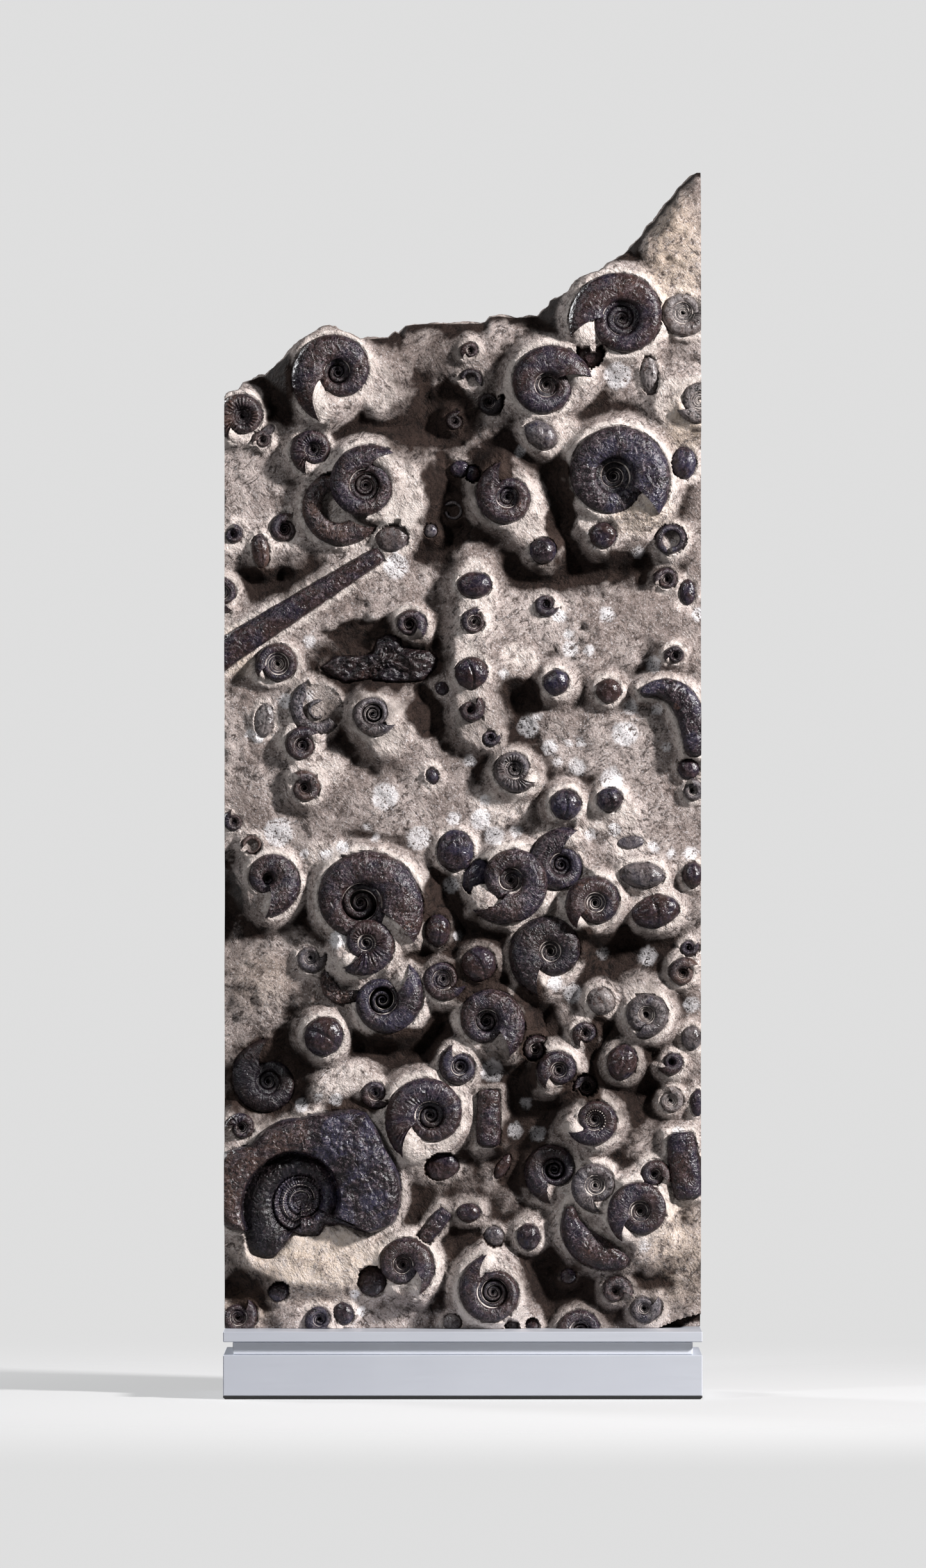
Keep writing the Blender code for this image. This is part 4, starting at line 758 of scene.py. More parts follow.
@dataclass
class Relief:
    """The slab's front as a height over the middle plane, with what the rock's finish reads from it."""

    seats: list = field(default_factory=list)

    def __post_init__(self) -> None:
        """Collects the seats of all shells."""
        for shell in COILS:
            self.seats.append(Seat(shell.outline(), shell.seat, True, footing=shell.footing()))
        for shell in (*ROUND_SHELLS, *RIBBONS):
            self.seats.append(Seat(shell.outline(), shell.seat, True))
        self.seats.append(Seat(giant_outline(), GIANT_SEAT, True))
        for shell in (*SMALL_COILS, *SMALL_DOMES, *SMALL_RIBBONS, *FRAGMENTS):
            ring = isinstance(shell, Coil) and shell.shown > 0.0
            bare = 14.0 if isinstance(shell, Fragment) else 0.0
            self.seats.append(Seat(shell.outline(), shell.seat, False, 0.2 if ring else 1.2, bare=bare))
        for x, z, half_x, half_z, tilt, top in MOUNDS:
            mound = Dome(x, z, half_x, half_z, tilt, top, 0.0)
            self.seats.append(Seat(mound.outline(), top, False, 0.0, 0.6, False))

    @staticmethod
    def top_at(x: np.ndarray) -> np.ndarray:
        """Height of the broken top above a place."""
        line = np.array(TOP_LINE, float)
        return np.interp(x, line[:, 0], line[:, 1])

    @staticmethod
    def corner_at(x: np.ndarray) -> np.ndarray:
        """Height of the broken corner's edge above a place, or 0 beside the corner."""
        corner = np.array(BROKEN_CORNER, float)
        return np.interp(x, corner[:, 0], corner[:, 1], left=0.0)

    def ground(self, points: np.ndarray) -> np.ndarray:
        """Relief of the rock before any shell stands on it.

        Args:
            points: places on the front, one in a row, in millimetres.

        Returns:
            One relief for each point.
        """
        x, z = points[:, 0], points[:, 1]
        roll = [noise.noise(Vector((a / ROLL_SPAN, b / ROLL_SPAN, 0.0))) for a, b in points]
        level = GROUND + ROLL_HEIGHT * np.array(roll)
        for middle_x, middle_z, half_x, half_z, rise in SWELLS:
            level += rise * np.exp(-(((x - middle_x) / half_x) ** 2 + ((z - middle_z) / half_z) ** 2))
        below_top = np.clip((self.top_at(x) - z) / TOP_ROUND, 0.0, 1.0)
        return level - TOP_FALL * (1.0 - below_top) ** 2

    def reaches(self, points: np.ndarray) -> list:
        """For each seat, the indices of the points near it and their distances to it.

        Args:
            points: places on the front, one in a row, in millimetres.

        Returns:
            A pair of arrays for each seat.
        """
        found = []
        for seat in self.seats:
            low = seat.outline.min(0) - SEAT_REACH
            high = seat.outline.max(0) + SEAT_REACH
            near = np.nonzero(((points > low) & (points < high)).all(1))[0]
            found.append((near, distance_to(seat.outline, points[near]) - RIM))
        return found

    @staticmethod
    def mouths(points: np.ndarray) -> np.ndarray:
        """Relief of the rock in the mouths of the coiled shells, or BARE elsewhere.

        Args:
            points: places on the front, one in a row, in millimetres.

        Returns:
            One relief for each point.
        """
        level = np.full(len(points), BARE)
        for coil in (*COILS, *SMALL_COILS):
            if coil.shown:
                continue
            near = np.nonzero(np.hypot(points[:, 0] - coil.x, points[:, 1] - coil.z) < 1.5 * coil.radius)[0]
            level[near] = np.maximum(level[near], coil.mouth(points[near]))
        return level

    @staticmethod
    def spots(points: np.ndarray) -> np.ndarray:
        """How white the rock is at each point.

        Args:
            points: places on the front, in millimetres.

        Returns:
            One share for each point, from 0 to 1.
        """
        spots = np.zeros(len(points))
        ragged = 1.0 + Grain.PATCH_EDGE.over(points)
        for x, z, radius in WHITE_PATCHES:
            away = np.hypot(points[:, 0] - x, points[:, 1] - z) * ragged / radius
            spots = np.maximum(spots, 1.0 - smooth_step(0.9, 1.05, away))
        return spots

    def levels(self, points: np.ndarray) -> dict[str, np.ndarray]:
        """Relief and paint of the rock at each point.

        Args:
            points: places on the front, in millimetres.

        Returns:
            Arrays named level, edge, flank, spot, tan and dark, one value for each point; dark is the share of
            painted shade.
        """
        reaches = self.reaches(points)
        level = self.ground(points)
        near = np.full(len(points), SEAT_REACH)
        for seat, (index, reach) in zip(self.seats, reaches):
            near[index] = np.minimum(near[index], np.maximum(reach, 0.0) + seat.bare)
            if seat.shell and not seat.main:
                pit = seat.level + PIT_SLOPE * np.maximum(reach, 0.0)
                level[index] = -smooth_max(-level[index], -pit, PIT_BLEND)
        # Painted shade in the listed places, with ragged edges; the ground there is also lowered.
        ragged = np.stack([Grain.STAIN_ACROSS.over(points), Grain.STAIN_UP.over(points)], 1)
        dark = in_places(points + ragged, SHADE_PAINTED_PLACES)
        level -= DARK_DEPTH * dark
        uneven = 1.0 + Grain.LIP.over(points)
        rough = 1.0 - np.exp(-np.maximum(near, 0.0) ** 2 / ROUGH_FADE)
        chiselled = in_places(points, CHISELLED) * Grain.CHISEL.over(points)
        level += rough * (Grain.GROUND.over(points) + chiselled)
        for seat, (index, reach) in zip(self.seats, reaches):
            away = reach if seat.footing is None else distance_to(seat.footing, points[index]) - RIM
            away = np.maximum(away - SHOULDER if seat.shell else away, 0.0)
            drop = seat.slope * (np.hypot(away, PEDESTAL_ROUND) - PEDESTAL_ROUND)
            drop += 0.0 if seat.shell else away ** 2 / MOUND_FALL
            level[index] = smooth_max(level[index], seat.level - drop, BLEND)
            if seat.shell:
                edge = LIP_HEIGHT * uneven[index] * np.exp(-((reach - LIP_REACH) / LIP_WIDTH) ** 2)
                level[index] += edge * (reach > -1.0) * (level[index] < seat.level + 1.0)
        for seat, (index, reach) in zip(self.seats, reaches):
            if seat.main:
                rise = PIT_SLOPE * np.maximum(reach, 0.0)
                level[index] = np.minimum(level[index], seat.level + rise + LIP_HEIGHT)
            tucked = -reach - TUCK
            inside = np.clip(tucked, 0.0, 7.0) * seat.hollow
            highest = seat.level + np.where(tucked > 0.0, -inside, EDGE_COVER)
            lowered = np.where(reach < 0.0, np.minimum(level[index], highest), level[index])
            level[index] = lowered if seat.shell else level[index]
        filled = self.mouths(points)
        near = np.where(filled > level, np.maximum(near, 6.0), near)
        level = np.where(filled > HARDLY_BARE, smooth_max(level, filled, 2.0), level)
        level += (0.25 + 0.75 * rough) * (Grain.SAND.over(points) + Grain.MIDDLE.over(points))
        level = np.where(points[:, 1] < self.corner_at(points[:, 0]), CORNER_RELIEF, level)
        return {
            "level": level,
            "edge": np.exp(-np.maximum(near, 0.0) ** 2 / EDGE_FADE),
            "flank": np.exp(-np.maximum(near, 0.0) ** 2 / FLANK_FADE),
            "spot": self.spots(points),
            "tan": in_places(points, TAN_PLACES),
            "dark": dark,
        }


def read_floats(mesh: Mesh) -> np.ndarray:
    """Vertex places of a mesh, one in a row.

    Args:
        mesh: the mesh.

    Returns:
        An array with a row for each vertex, in metres.
    """
    places = np.empty(len(mesh.vertices) * 3, np.float32)
    mesh.vertices.foreach_get("co", places)
    return places.reshape(-1, 3).astype(float)


def paint(mesh: Mesh, name: str, values: np.ndarray) -> None:
    """Stores one number at each vertex, for a material to read."""
    attribute = mesh.attributes.get(name) or mesh.attributes.new(name, "FLOAT", "POINT")
    attribute.data.foreach_set("value", np.asarray(values, np.float32))


def tint(mesh: Mesh, tone: Tone, smooth: float) -> None:
    """Paints how a shell has weathered and how smooth it is."""
    for name, value in zip(("grey", "warm", "smooth"), (*tone.value, smooth)):
        paint(mesh, name, np.full(len(mesh.vertices), value))


def face_outwards(mesh: Mesh) -> None:
    """Turns the faces of a closed mesh so that all of them point out.

    Args:
        mesh: the mesh, which is changed.
    """
    work = bmesh.new()
    work.from_mesh(mesh)
    bmesh.ops.recalc_face_normals(work, faces=work.faces[:])
    if work.calc_volume(signed=True) < 0.0:
        bmesh.ops.reverse_faces(work, faces=work.faces[:])
    work.to_mesh(mesh)
    work.free()


def cut_flush(mesh: Mesh) -> None:
    """Cuts a shell along the slab's sawn sides and bottom, and closes the cut.

    Args:
        mesh: the shell's mesh, which is changed.
    """
    places = read_floats(mesh)
    planes = (((-1, 0, 0), HALF_WIDTH), ((1, 0, 0), HALF_WIDTH), ((0, 0, -1), -SLAB_BOTTOM))
    for normal, limit in planes:
        if (places @ np.array(normal, float)).max() <= limit * MM:
            continue
        work = bmesh.new()
        work.from_mesh(mesh)
        at = Vector(normal) * limit * MM
        everything = work.verts[:] + work.edges[:] + work.faces[:]
        bmesh.ops.bisect_plane(work, geom=everything, plane_co=at, plane_no=normal, clear_outer=True)
        bmesh.ops.holes_fill(work, edges=[edge for edge in work.edges if edge.is_boundary])
        bmesh.ops.triangulate(work, faces=[face for face in work.faces if len(face.verts) > 4])
        work.to_mesh(mesh)
        work.free()


def new_piece(name: str, mesh: Mesh, slot: str, *nodes: str) -> Object:
    """Puts a mesh in the scene as a piece of the plate.

    Args:
        name: the piece's name.
        mesh: its mesh, in place.
        slot: the material slot that its finish stands for; not used.
        nodes: the solids that it stands for.

    Returns:
        The new object.
    """
    mesh.shade_smooth()
    mesh.set_sharp_from_angle(angle=math.radians(SHARP_ANGLE))
    piece = bpy.data.objects.new(name, mesh)
    bpy.context.scene.collection.objects.link(piece)
    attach(piece, "root")
    if nodes:
        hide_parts(*nodes)
    return piece


def add_node(tree: NodeTree, kind: str, **given: object) -> Node:
    """Adds a node to a tree.

    Args:
        tree: the node tree.
        kind: the node's type.
        given: its settings, in small letters, and its inputs, with a capital and with spaces as underscores.
            An input is a socket or a Term to link, or else a value.

    Returns:
        The new node.
    """
    node = tree.nodes.new(kind)
    for name, value in given.items():
        if name[0].islower():
            setattr(node, name, value)
            continue
        place = node.inputs[name.replace("_", " ")]
        value = value.socket if isinstance(value, Term) else value
        if isinstance(value, NodeSocket):
            tree.links.new(value, place)
        else:
            place.default_value = value
    return node


def operation(name: str) -> Callable:
    """A method of Term that adds a math node of this name, with the term as its first input."""
    return lambda term, *others: term.step(term.tree, name, term, *others)


class Term:
    """A number inside a node tree, which ordinary arithmetic extends with math nodes."""

    def __init__(self, tree: NodeTree, socket: NodeSocket) -> None:
        """Keeps the socket that gives the number."""
        self.tree = tree
        self.socket = socket

    @classmethod
    def step(cls, tree: NodeTree, operation: str, *given: "Term | float") -> "Term":
        """Adds one math node with its inputs linked or set.

        Args:
            tree: the node tree.
            operation: what the node does.
            given: its inputs, in order.

        Returns:
            Its result.
        """
        node = add_node(tree, "ShaderNodeMath", operation=operation)
        for place, value in zip(node.inputs, given):
            if isinstance(value, Term):
                tree.links.new(value.socket, place)
            else:
                place.default_value = value
        return cls(tree, node.outputs[0])

    def __rsub__(self, other: float) -> "Term":
        """Difference from a number."""
        return self.step(self.tree, "SUBTRACT", other, self)

    __add__, __sub__, __mul__, __truediv__, __pow__ = map(
        operation, ("ADD", "SUBTRACT", "MULTIPLY", "DIVIDE", "POWER")
    )
    at_least, at_most, above = map(operation, ("MAXIMUM", "MINIMUM", "GREATER_THAN"))
    cosine, sine, rounded = map(operation, ("COSINE", "SINE", "ROUND"))

    def squared_off(self, power: "Term") -> "Term":
        """The same sign with the size raised to a power."""
        size = self.step(self.tree, "ABSOLUTE", self) ** power
        return size * self.step(self.tree, "SIGN", self)


class GrowingTree:
    """A geometry node tree with named inputs, run on a bare object to give a plain mesh."""

    NAME = "grown"
    COUNTS: tuple = ()
    SIZES: tuple = ()

    def __init__(self) -> None:
        """Builds the tree once for all its pieces."""
        self.tree = bpy.data.node_groups.new(self.NAME, "GeometryNodeTree")
        for kind, names in (("Int", self.COUNTS), ("Float", self.SIZES), ("Material", ("Shell",))):
            for name in names:
                self.tree.interface.new_socket(name, in_out="INPUT", socket_type="NodeSocket" + kind)
        self.tree.interface.new_socket("Mesh", in_out="OUTPUT", socket_type="NodeSocketGeometry")
        self.given = self.node("NodeGroupInput")
        self.grow()

    def grow(self) -> None:
        """Lays out the tree's nodes."""
        raise NotImplementedError

    def term(self, name: str) -> Term:
        """The named input as a number."""
        return Term(self.tree, self.given.outputs[name])

    def node(self, kind: str, **given: object) -> Node:
        """A new node in the tree."""
        return add_node(self.tree, kind, **given)

    def out(self, kind: str, **given: object) -> NodeSocket:
        """The first output of a new node in the tree."""
        return self.node(kind, **given).outputs[0]

    def place(self, x: Term, relief: Term, z: Term) -> NodeSocket:
        """A place in the scene, from millimetres."""
        return self.out("ShaderNodeCombineXYZ", X=x * MM, Y=relief * -MM, Z=z * MM)

    def leave(self, geometry: NodeSocket) -> None:
        """Ends the tree: realized instances with the finish set.

        Args:
            geometry: what the tree has made.
        """
        realized = self.out("GeometryNodeRealizeInstances", Geometry=geometry)
        shell = self.given.outputs["Shell"]
        finished = self.out("GeometryNodeSetMaterial", Geometry=realized, Material=shell)
        self.tree.links.new(finished, self.node("NodeGroupOutput").inputs[0])

    def mesh(self, name: str, **values: object) -> Mesh:
        """Runs the tree on a bare object.

        Args:
            name: name of the new mesh.
            values: the inputs, with spaces as underscores.

        Returns:
            The tree's plain mesh.
        """
        bare = bpy.data.objects.new(name, bpy.data.meshes.new(name + "_seed"))
        bpy.context.scene.collection.objects.link(bare)
        modifier = bare.modifiers.new("grow", "NODES")
        modifier.node_group = self.tree
        for item in self.tree.interface.items_tree:
            if item.in_out == "INPUT":
                modifier[item.identifier] = values[item.name.replace(" ", "_")]
        graph = bpy.context.evaluated_depsgraph_get()
        mesh = bpy.data.meshes.new_from_object(bare.evaluated_get(graph))
        bpy.data.objects.remove(bare)
        mesh.name = name
        return mesh


class BeadTree(GrowingTree):
    """The node tree for a row of beads along a spiral."""

    NAME = "bead_row"
    COUNTS = ("Count",)
    SIZES = ("Step", "Centre X", "Centre Z", "Start", "Radius", "Growth", "Level", "Fall", "Size")

    def grow(self) -> None:
        """Places points along the spiral and sets a bead on each."""
        points = self.out("GeometryNodePoints", Count=self.given.outputs["Count"])
        back = Term(self.tree, self.out("GeometryNodeInputIndex")) * self.term("Step")
        size = self.term("Growth") ** (Term.step(self.tree, "ABSOLUTE", back) / -360.0)
        angle = (self.term("Start") + back) * (math.pi / 180.0)
        reach = self.term("Radius") * size
        place = self.place(
            self.term("Centre X") + reach * angle.cosine(),
            self.term("Level") - (1.0 - size) * self.term("Fall"),
            self.term("Centre Z") + reach * angle.sine(),
        )
        spread = self.out("GeometryNodeSetPosition", Geometry=points, Position=place)
        bead = self.out("GeometryNodeMeshIcoSphere", Radius=MM, Subdivisions=2)
        self.leave(self.out(
            "GeometryNodeInstanceOnPoints", Points=spread, Instance=bead, Scale=self.term("Size") * size,
        ))


class CoilTree(GrowingTree):
    """The node tree that grows a coiled shell: a tube of widening section wound on a logarithmic spiral."""

    NAME = "coiled_shell"
    COUNTS = ("Rows", "Columns")
    SIZES = (
        "Step", "Centre X", "Centre Z", "Turn", "Aperture", "Radius", "Growth", "Umbilicus", "Seat",
        "Thickness", "Depth", "Squareness", "Ribs", "Rib Depth", "Rough", "Seed", "Start", "End", "Taper",
        "Lip", "Sink",
    )
    CAP_ROWS = 2
    UPPER_SHARE = 0.8
    SPREAD = 1100.0
    BUTTON_SPAN = 170.0
    MERGE_DISTANCE = 0.00002
    GRAIN = {"Scale": 165.0, "Detail": 3.0, "Roughness": 0.6, "Distortion": 0.6}
    GRAIN_HEIGHT = 2.6

    def section(self) -> tuple[Term, Term, Term]:
        """Lays out the spiral's formula.

        Returns:
            The place of each grid point along X, its relief and its place along Z, in millimetres.
        """
        split = self.node("ShaderNodeSeparateXYZ", Vector=self.out("GeometryNodeInputPosition"))
        rows = self.term("Rows")
        row = ((Term(self.tree, split.outputs[0]) + 0.5) * (rows - 1.0)).rounded()
        share = Term(self.tree, split.outputs[1]) + 0.5
        upper = (share / self.UPPER_SHARE).at_most(1.0)
        lower = (share - self.UPPER_SHARE).at_least(0.0) / (1.0 - self.UPPER_SHARE)
        around = (upper + lower) * math.pi
        swell = (row / float(self.CAP_ROWS)).at_most(1.0) * (1.0 - row.above(rows - 1.5))
        run = (row.at_most(rows - 2.0) - float(self.CAP_ROWS)).at_least(0.0) * self.term("Step")
        back = run * (run / self.SPREAD + 1.0) + self.term("Start")
        full = ((run + 0.05) / self.term("Taper")).at_most(1.0)
        full = full * full * (3.0 - full * 2.0)
        growth = self.term("Growth")
        shrink = growth ** (back.at_least(0.0) / -360.0)
        outer = self.term("Radius") * shrink
        last = self.term("Umbilicus") * (NAVEL_START - (back / 360.0).at_least(0.0).at_most(1.0) * NAVEL_FALL)
        button = ((self.term("End") - back) / self.BUTTON_SPAN).at_least(0.0).at_most(1.0)
        wound = last * growth ** ((back - 360.0).at_least(0.0) / -360.0)
        inner = wound.at_most(outer * NAVEL_LIMIT) * button
        middle = outer - (outer - inner) * HALF_SHARE
        half = (outer - inner) * HALF_SHARE * (full * 0.15 + 0.85)
        outside = around.cosine().above(0.0)
        power = Term.step(self.tree, "DIVIDE", 2.0, self.term("Squareness") + (1.0 - outside) * 1.3)
        across = around.cosine().squared_off(power)
        up = around.sine()
        rise = up.squared_off(power)
        lean = across * 0.5
        wave = (back * (math.pi / 180.0) * self.term("Ribs") + lean * 3.0).cosine()
        height = self.term("Thickness") * shrink ** THINNING * full * (wave * self.term("Rib Depth") + 1.0)
        lift = up.above(0.0)
        relief = (rise * height * lift + rise * self.term("Depth") * (1.0 - lift)) * swell
        reach = middle + half * across * swell * (wave * self.term("Rib Depth") * 0.3 + 1.0)
        lip = self.term("Lip")
        slant = (1.0 - run / (lip * 1.6 + 0.1)).at_least(0.0) * lip * (1.0 - across * swell) * 0.5
        direction = (self.term("Aperture") - (back + slant) * self.term("Turn")) * (math.pi / 180.0)
        x = self.term("Centre X") + reach * direction.cosine()
        z = self.term("Centre Z") + reach * direction.sine()
        part = ((back - SINK_START) / SINK_SPAN).at_least(0.0).at_most(1.0)
        deeper = part * part * (3.0 - part * 2.0) * self.term("Sink")
        return x, self.term("Seat") - deeper + relief, z

    def grow(self) -> None:
        """Joins the grid, the spiral, the rough surface and the finish."""
        grid = self.out(
            "GeometryNodeMeshGrid", Size_X=1.0, Size_Y=1.0, Vertices_X=self.given.outputs["Rows"],
            Vertices_Y=self.given.outputs["Columns"],
        )
        place = self.place(*self.section())
        wound = self.out("GeometryNodeSetPosition", Geometry=grid, Position=place)
        closed = self.out("GeometryNodeMergeByDistance", Geometry=wound, Distance=self.MERGE_DISTANCE)
        grain = self.node("ShaderNodeTexNoise", noise_dimensions="4D")
        for name, value in self.GRAIN.items():
            grain.inputs[name].default_value = value
        self.tree.links.new(self.given.outputs["Seed"], grain.inputs["W"])
        split = self.node("ShaderNodeSeparateXYZ", Vector=self.out("GeometryNodeInputPosition"))
        aside = Term(self.tree, split.outputs[0]) / MM - self.term("Centre X")
        over = Term(self.tree, split.outputs[2]) / MM - self.term("Centre Z")
        out = ((aside * aside + over * over) ** 0.5 / self.term("Radius") + 0.05).at_most(1.0)
        amount = (Term(self.tree, grain.outputs[0]) - 0.5) * self.term("Rough")
        amount = amount * out * (self.GRAIN_HEIGHT * MM)
        push = self.node("ShaderNodeVectorMath", operation="SCALE", Scale=amount)
        self.tree.links.new(self.out("GeometryNodeInputNormal"), push.inputs[0])
        self.leave(self.out("GeometryNodeSetPosition", Geometry=closed, Offset=push.outputs[0]))


@dataclass
class CoilBuilder:
    """Makes the meshes of coiled shells, with the pale rock in their seams."""

    tree: CoilTree
    bead_tree: BeadTree
    shell: Material
    thread: Material
    depth: float = 14.0
    taper: float = 0.01
    full_size: float = 34.0
    open_end: float = 9999.0
    # How dark the painted shade in a large shell's navel is.
    navel_dirt: float = 0.6
    bead_step: float = 15.0
    bead_start: float = 90.0
    # Where a shell is larger than the radius: degrees from row to row and points round its section.
    densities: tuple = ((40, 3.8, 31), (22, 5.0, 23), (0, 7.5, 17))

    def grown(self, coil: Coil) -> Mesh:
        """Runs the tree for a coil.

        Args:
            coil: the shell.

        Returns:
            Its closed mesh, cut flush with the slab.
        """
        step, columns = next(found[1:] for found in self.densities if coil.radius > found[0])
        length = coil.turned_back()
        spread = CoilTree.SPREAD
        run = (math.sqrt(1.0 + 4.0 * length / spread) - 1.0) * spread / 2.0
        ribs, rib_depth, rough = coil.form.value
        sizes = dict(
            Centre_X=coil.x, Centre_Z=coil.z, Turn=coil.turn, Aperture=coil.aperture, Radius=coil.radius,
            Growth=coil.growth, Umbilicus=coil.umbilicus, Seat=coil.seat, Thickness=coil.thick,
            Depth=self.depth, Squareness=coil.square, Ribs=ribs, Rib_Depth=rib_depth, Lip=coil.lip,
            Rough=rough * min(1.0, coil.radius / self.full_size), Seed=coil.x * 0.37 + coil.z * 0.11,
            Sink=coil.drop, Step=step, Start=0.0, End=self.open_end if coil.shown else length,
            Taper=self.taper,
        )
        mesh = self.tree.mesh(
            coil.name, Rows=int(run / step) + CoilTree.CAP_ROWS + 2, Columns=columns, Shell=self.shell,
            **{name: float(value) for name, value in sizes.items()},
        )
        face_outwards(mesh)
        cut_flush(mesh)
        return mesh

    def mesh(self, coil: Coil) -> Mesh:
        """The shell alone, painted with how it has weathered and with painted shade.

        Args:
            coil: the shell.

        Returns:
            Its mesh.
        """
        mesh = self.grown(coil)
        tint(mesh, coil.tone, {Form.ROUGH: 0.0, Form.SMOOTH: 0.5}.get(coil.form, 0.7))
        found = read_floats(mesh) / MM
        aside, over = found[:, 0] - coil.x, found[:, 2] - coil.z
        reach = np.maximum(np.hypot(aside, over), 0.5)
        turned = np.arctan2(over, aside) + coil.turn * 0.5 * np.sqrt(reach / coil.radius)
        paint(mesh, "wound_x", np.cos(turned))
        paint(mesh, "wound_z", np.sin(turned))
        paint(mesh, "wound_out", np.log(reach))
        # Painted shade in the navel of a large shell, or over the whole shell by its shade.
        deep = self.navel_dirt * smooth_step(20.0, 48.0, coil.radius)
        navel_shading = deep * (1.0 - smooth_step(0.80, 1.02, reach / coil.umbilicus))
        paint(mesh, "pit", np.maximum(navel_shading, coil.shade))
        return mesh

    @staticmethod
    def seam_height(coil: Coil, back: np.ndarray, reach: np.ndarray) -> np.ndarray:
        """Relief of the turn below a seam, at a radius.

        Args:
            coil: the shell.
            back: degrees back from the aperture.
            reach: distance from the shell's centre.

        Returns:
            One relief for each place.
        """
        under = back + 360.0
        outer, inner = coil.outer(under), coil.inner(under)
        half = (outer - inner) * HALF_SHARE
        across = np.clip(np.abs(reach - (outer - half)) / half, 0.0, 0.98)
        height = coil.thick * coil.growth ** (-THINNING * under / 360.0)
        return coil.base(under) + height * (1.0 - across ** coil.square) ** (1.0 / coil.square)

    def seam(self, coil: Coil) -> Mesh:
        """The pale thread of rock that lies in the seam between two turns.

        Args:
            coil: the shell.

        Returns:
            The thread's mesh.
        """
        back = np.arange(coil.lip + 2.0, coil.turned_back() - 360.0, 7.0)
        reach = coil.inner(back) * 1.01
        crest = coil.base(back) + coil.thick * coil.growth ** (-THINNING * back / 360.0)
        level = self.seam_height(coil, back, reach)
        level = level + 0.42 * np.maximum(crest - level, 0.0)
        size = np.clip(0.042 * coil.outer(back), 0.5, 1.9) * (0.40 + 0.75 * coil.seam)
        size *= 0.75 + 0.5 * np.sin(back * 0.031 + coil.x) * np.sin(back * 0.013 + coil.z)
        size[0] = size[-1] = 0.05
        angles = coil.aperture - coil.turn * back
        thread = thread_mesh((coil.x, coil.z), angles, reach, level, size, self.thread)
        cut_flush(thread)
        return thread

    def beads(self, coil: Coil) -> Mesh:
        """The row of beads that follows a shell's seams, from the open middle inwards.

        Args:
            coil: the shell.

        Returns:
            The beads' mesh.
        """
        back = np.array([self.bead_start])
        outer, inner = float(coil.outer(back)[0]), float(coil.inner(back)[0])
        reach = inner * 1.14
        half = (outer - inner) * HALF_SHARE
        across = abs(reach - (outer - half)) / half
        level = float(coil.base(back)[0]) + coil.thick * coil.growth ** -0.25 * (1.0 - across ** 3.4) ** 0.3
        # The beads take the pale seam rock's finish: a painted highlight that stands for glints on the shell's
        # knobs.
        return self.bead_tree.mesh(
            coil.name + "_beads", Count=50, Step=-coil.turn * self.bead_step, Centre_X=float(coil.x),
            Centre_Z=float(coil.z), Start=float(coil.aperture - coil.turn * self.bead_start), Radius=reach,
            Growth=float(coil.growth), Level=level - 0.2,
            Fall=level - float(coil.base(np.array([700.0]))[0]) + 1.0, Size=1.0, Shell=self.thread,
        )

    def parts(self, coil: Coil) -> list[Mesh]:
        """The shell with the pale threads in its seams.

        Args:
            coil: the shell.

        Returns:
            Its meshes.
        """
        meshes = [self.mesh(coil)]
        if coil.form is Form.BEADED:
            meshes.append(self.beads(coil))
        if coil.seam > 0.0 and not coil.shown:
            meshes.append(self.seam(coil))
        return meshes


def tube_mesh(name: str, rings: np.ndarray, finish: Material) -> Mesh:
    """A closed tube through rings of points.

    Args:
        name: the mesh's name.
        rings: places by ring, by point of the ring, in metres.
        finish: its material.

    Returns:
        The new mesh, with its faces outwards.
    """
    count, sides = rings.shape[:2]
    places = rings.reshape(-1, 3).tolist()
    faces = []
    for i in range(count - 1):
        for k in range(sides):
            j = (k + 1) % sides
            faces.append((i * sides + k, i * sides + j, (i + 1) * sides + j, (i + 1) * sides + k))
    places += [rings[0].mean(0).tolist(), rings[-1].mean(0).tolist()]
    for k in range(sides):
        j = (k + 1) % sides
        faces.append((count * sides, j, k))
        faces.append((count * sides + 1, (count - 1) * sides + k, (count - 1) * sides + j))
    mesh = bpy.data.meshes.new(name)
    mesh.from_pydata(places, [], faces)
    mesh.materials.append(finish)
    face_outwards(mesh)
    return mesh


def thread_mesh(centre: tuple, angles: np.ndarray, reach: np.ndarray, level: np.ndarray, size: np.ndarray,
                finish: Material) -> Mesh:
    """A closed six-sided thread that winds round a centre.

    Args:
        centre: the place that it winds round.
        angles: directions along it, in degrees.
        reach: its distance from the centre in each direction.
        level: its relief in each direction.
        size: its half thickness in each direction.
        finish: its material.

    Returns:
        The thread's mesh.
    """
    rings = []
    for k in range(THREAD_SIDES):
        way = 2.0 * math.pi * k / THREAD_SIDES
        points = placed(centre, angles, reach + size * math.cos(way))
        rings.append(np.stack([points[:, 0], -(level + size * math.sin(way)), points[:, 1]], 1))
    return tube_mesh("thread", np.stack(rings, 1) * MM, finish)


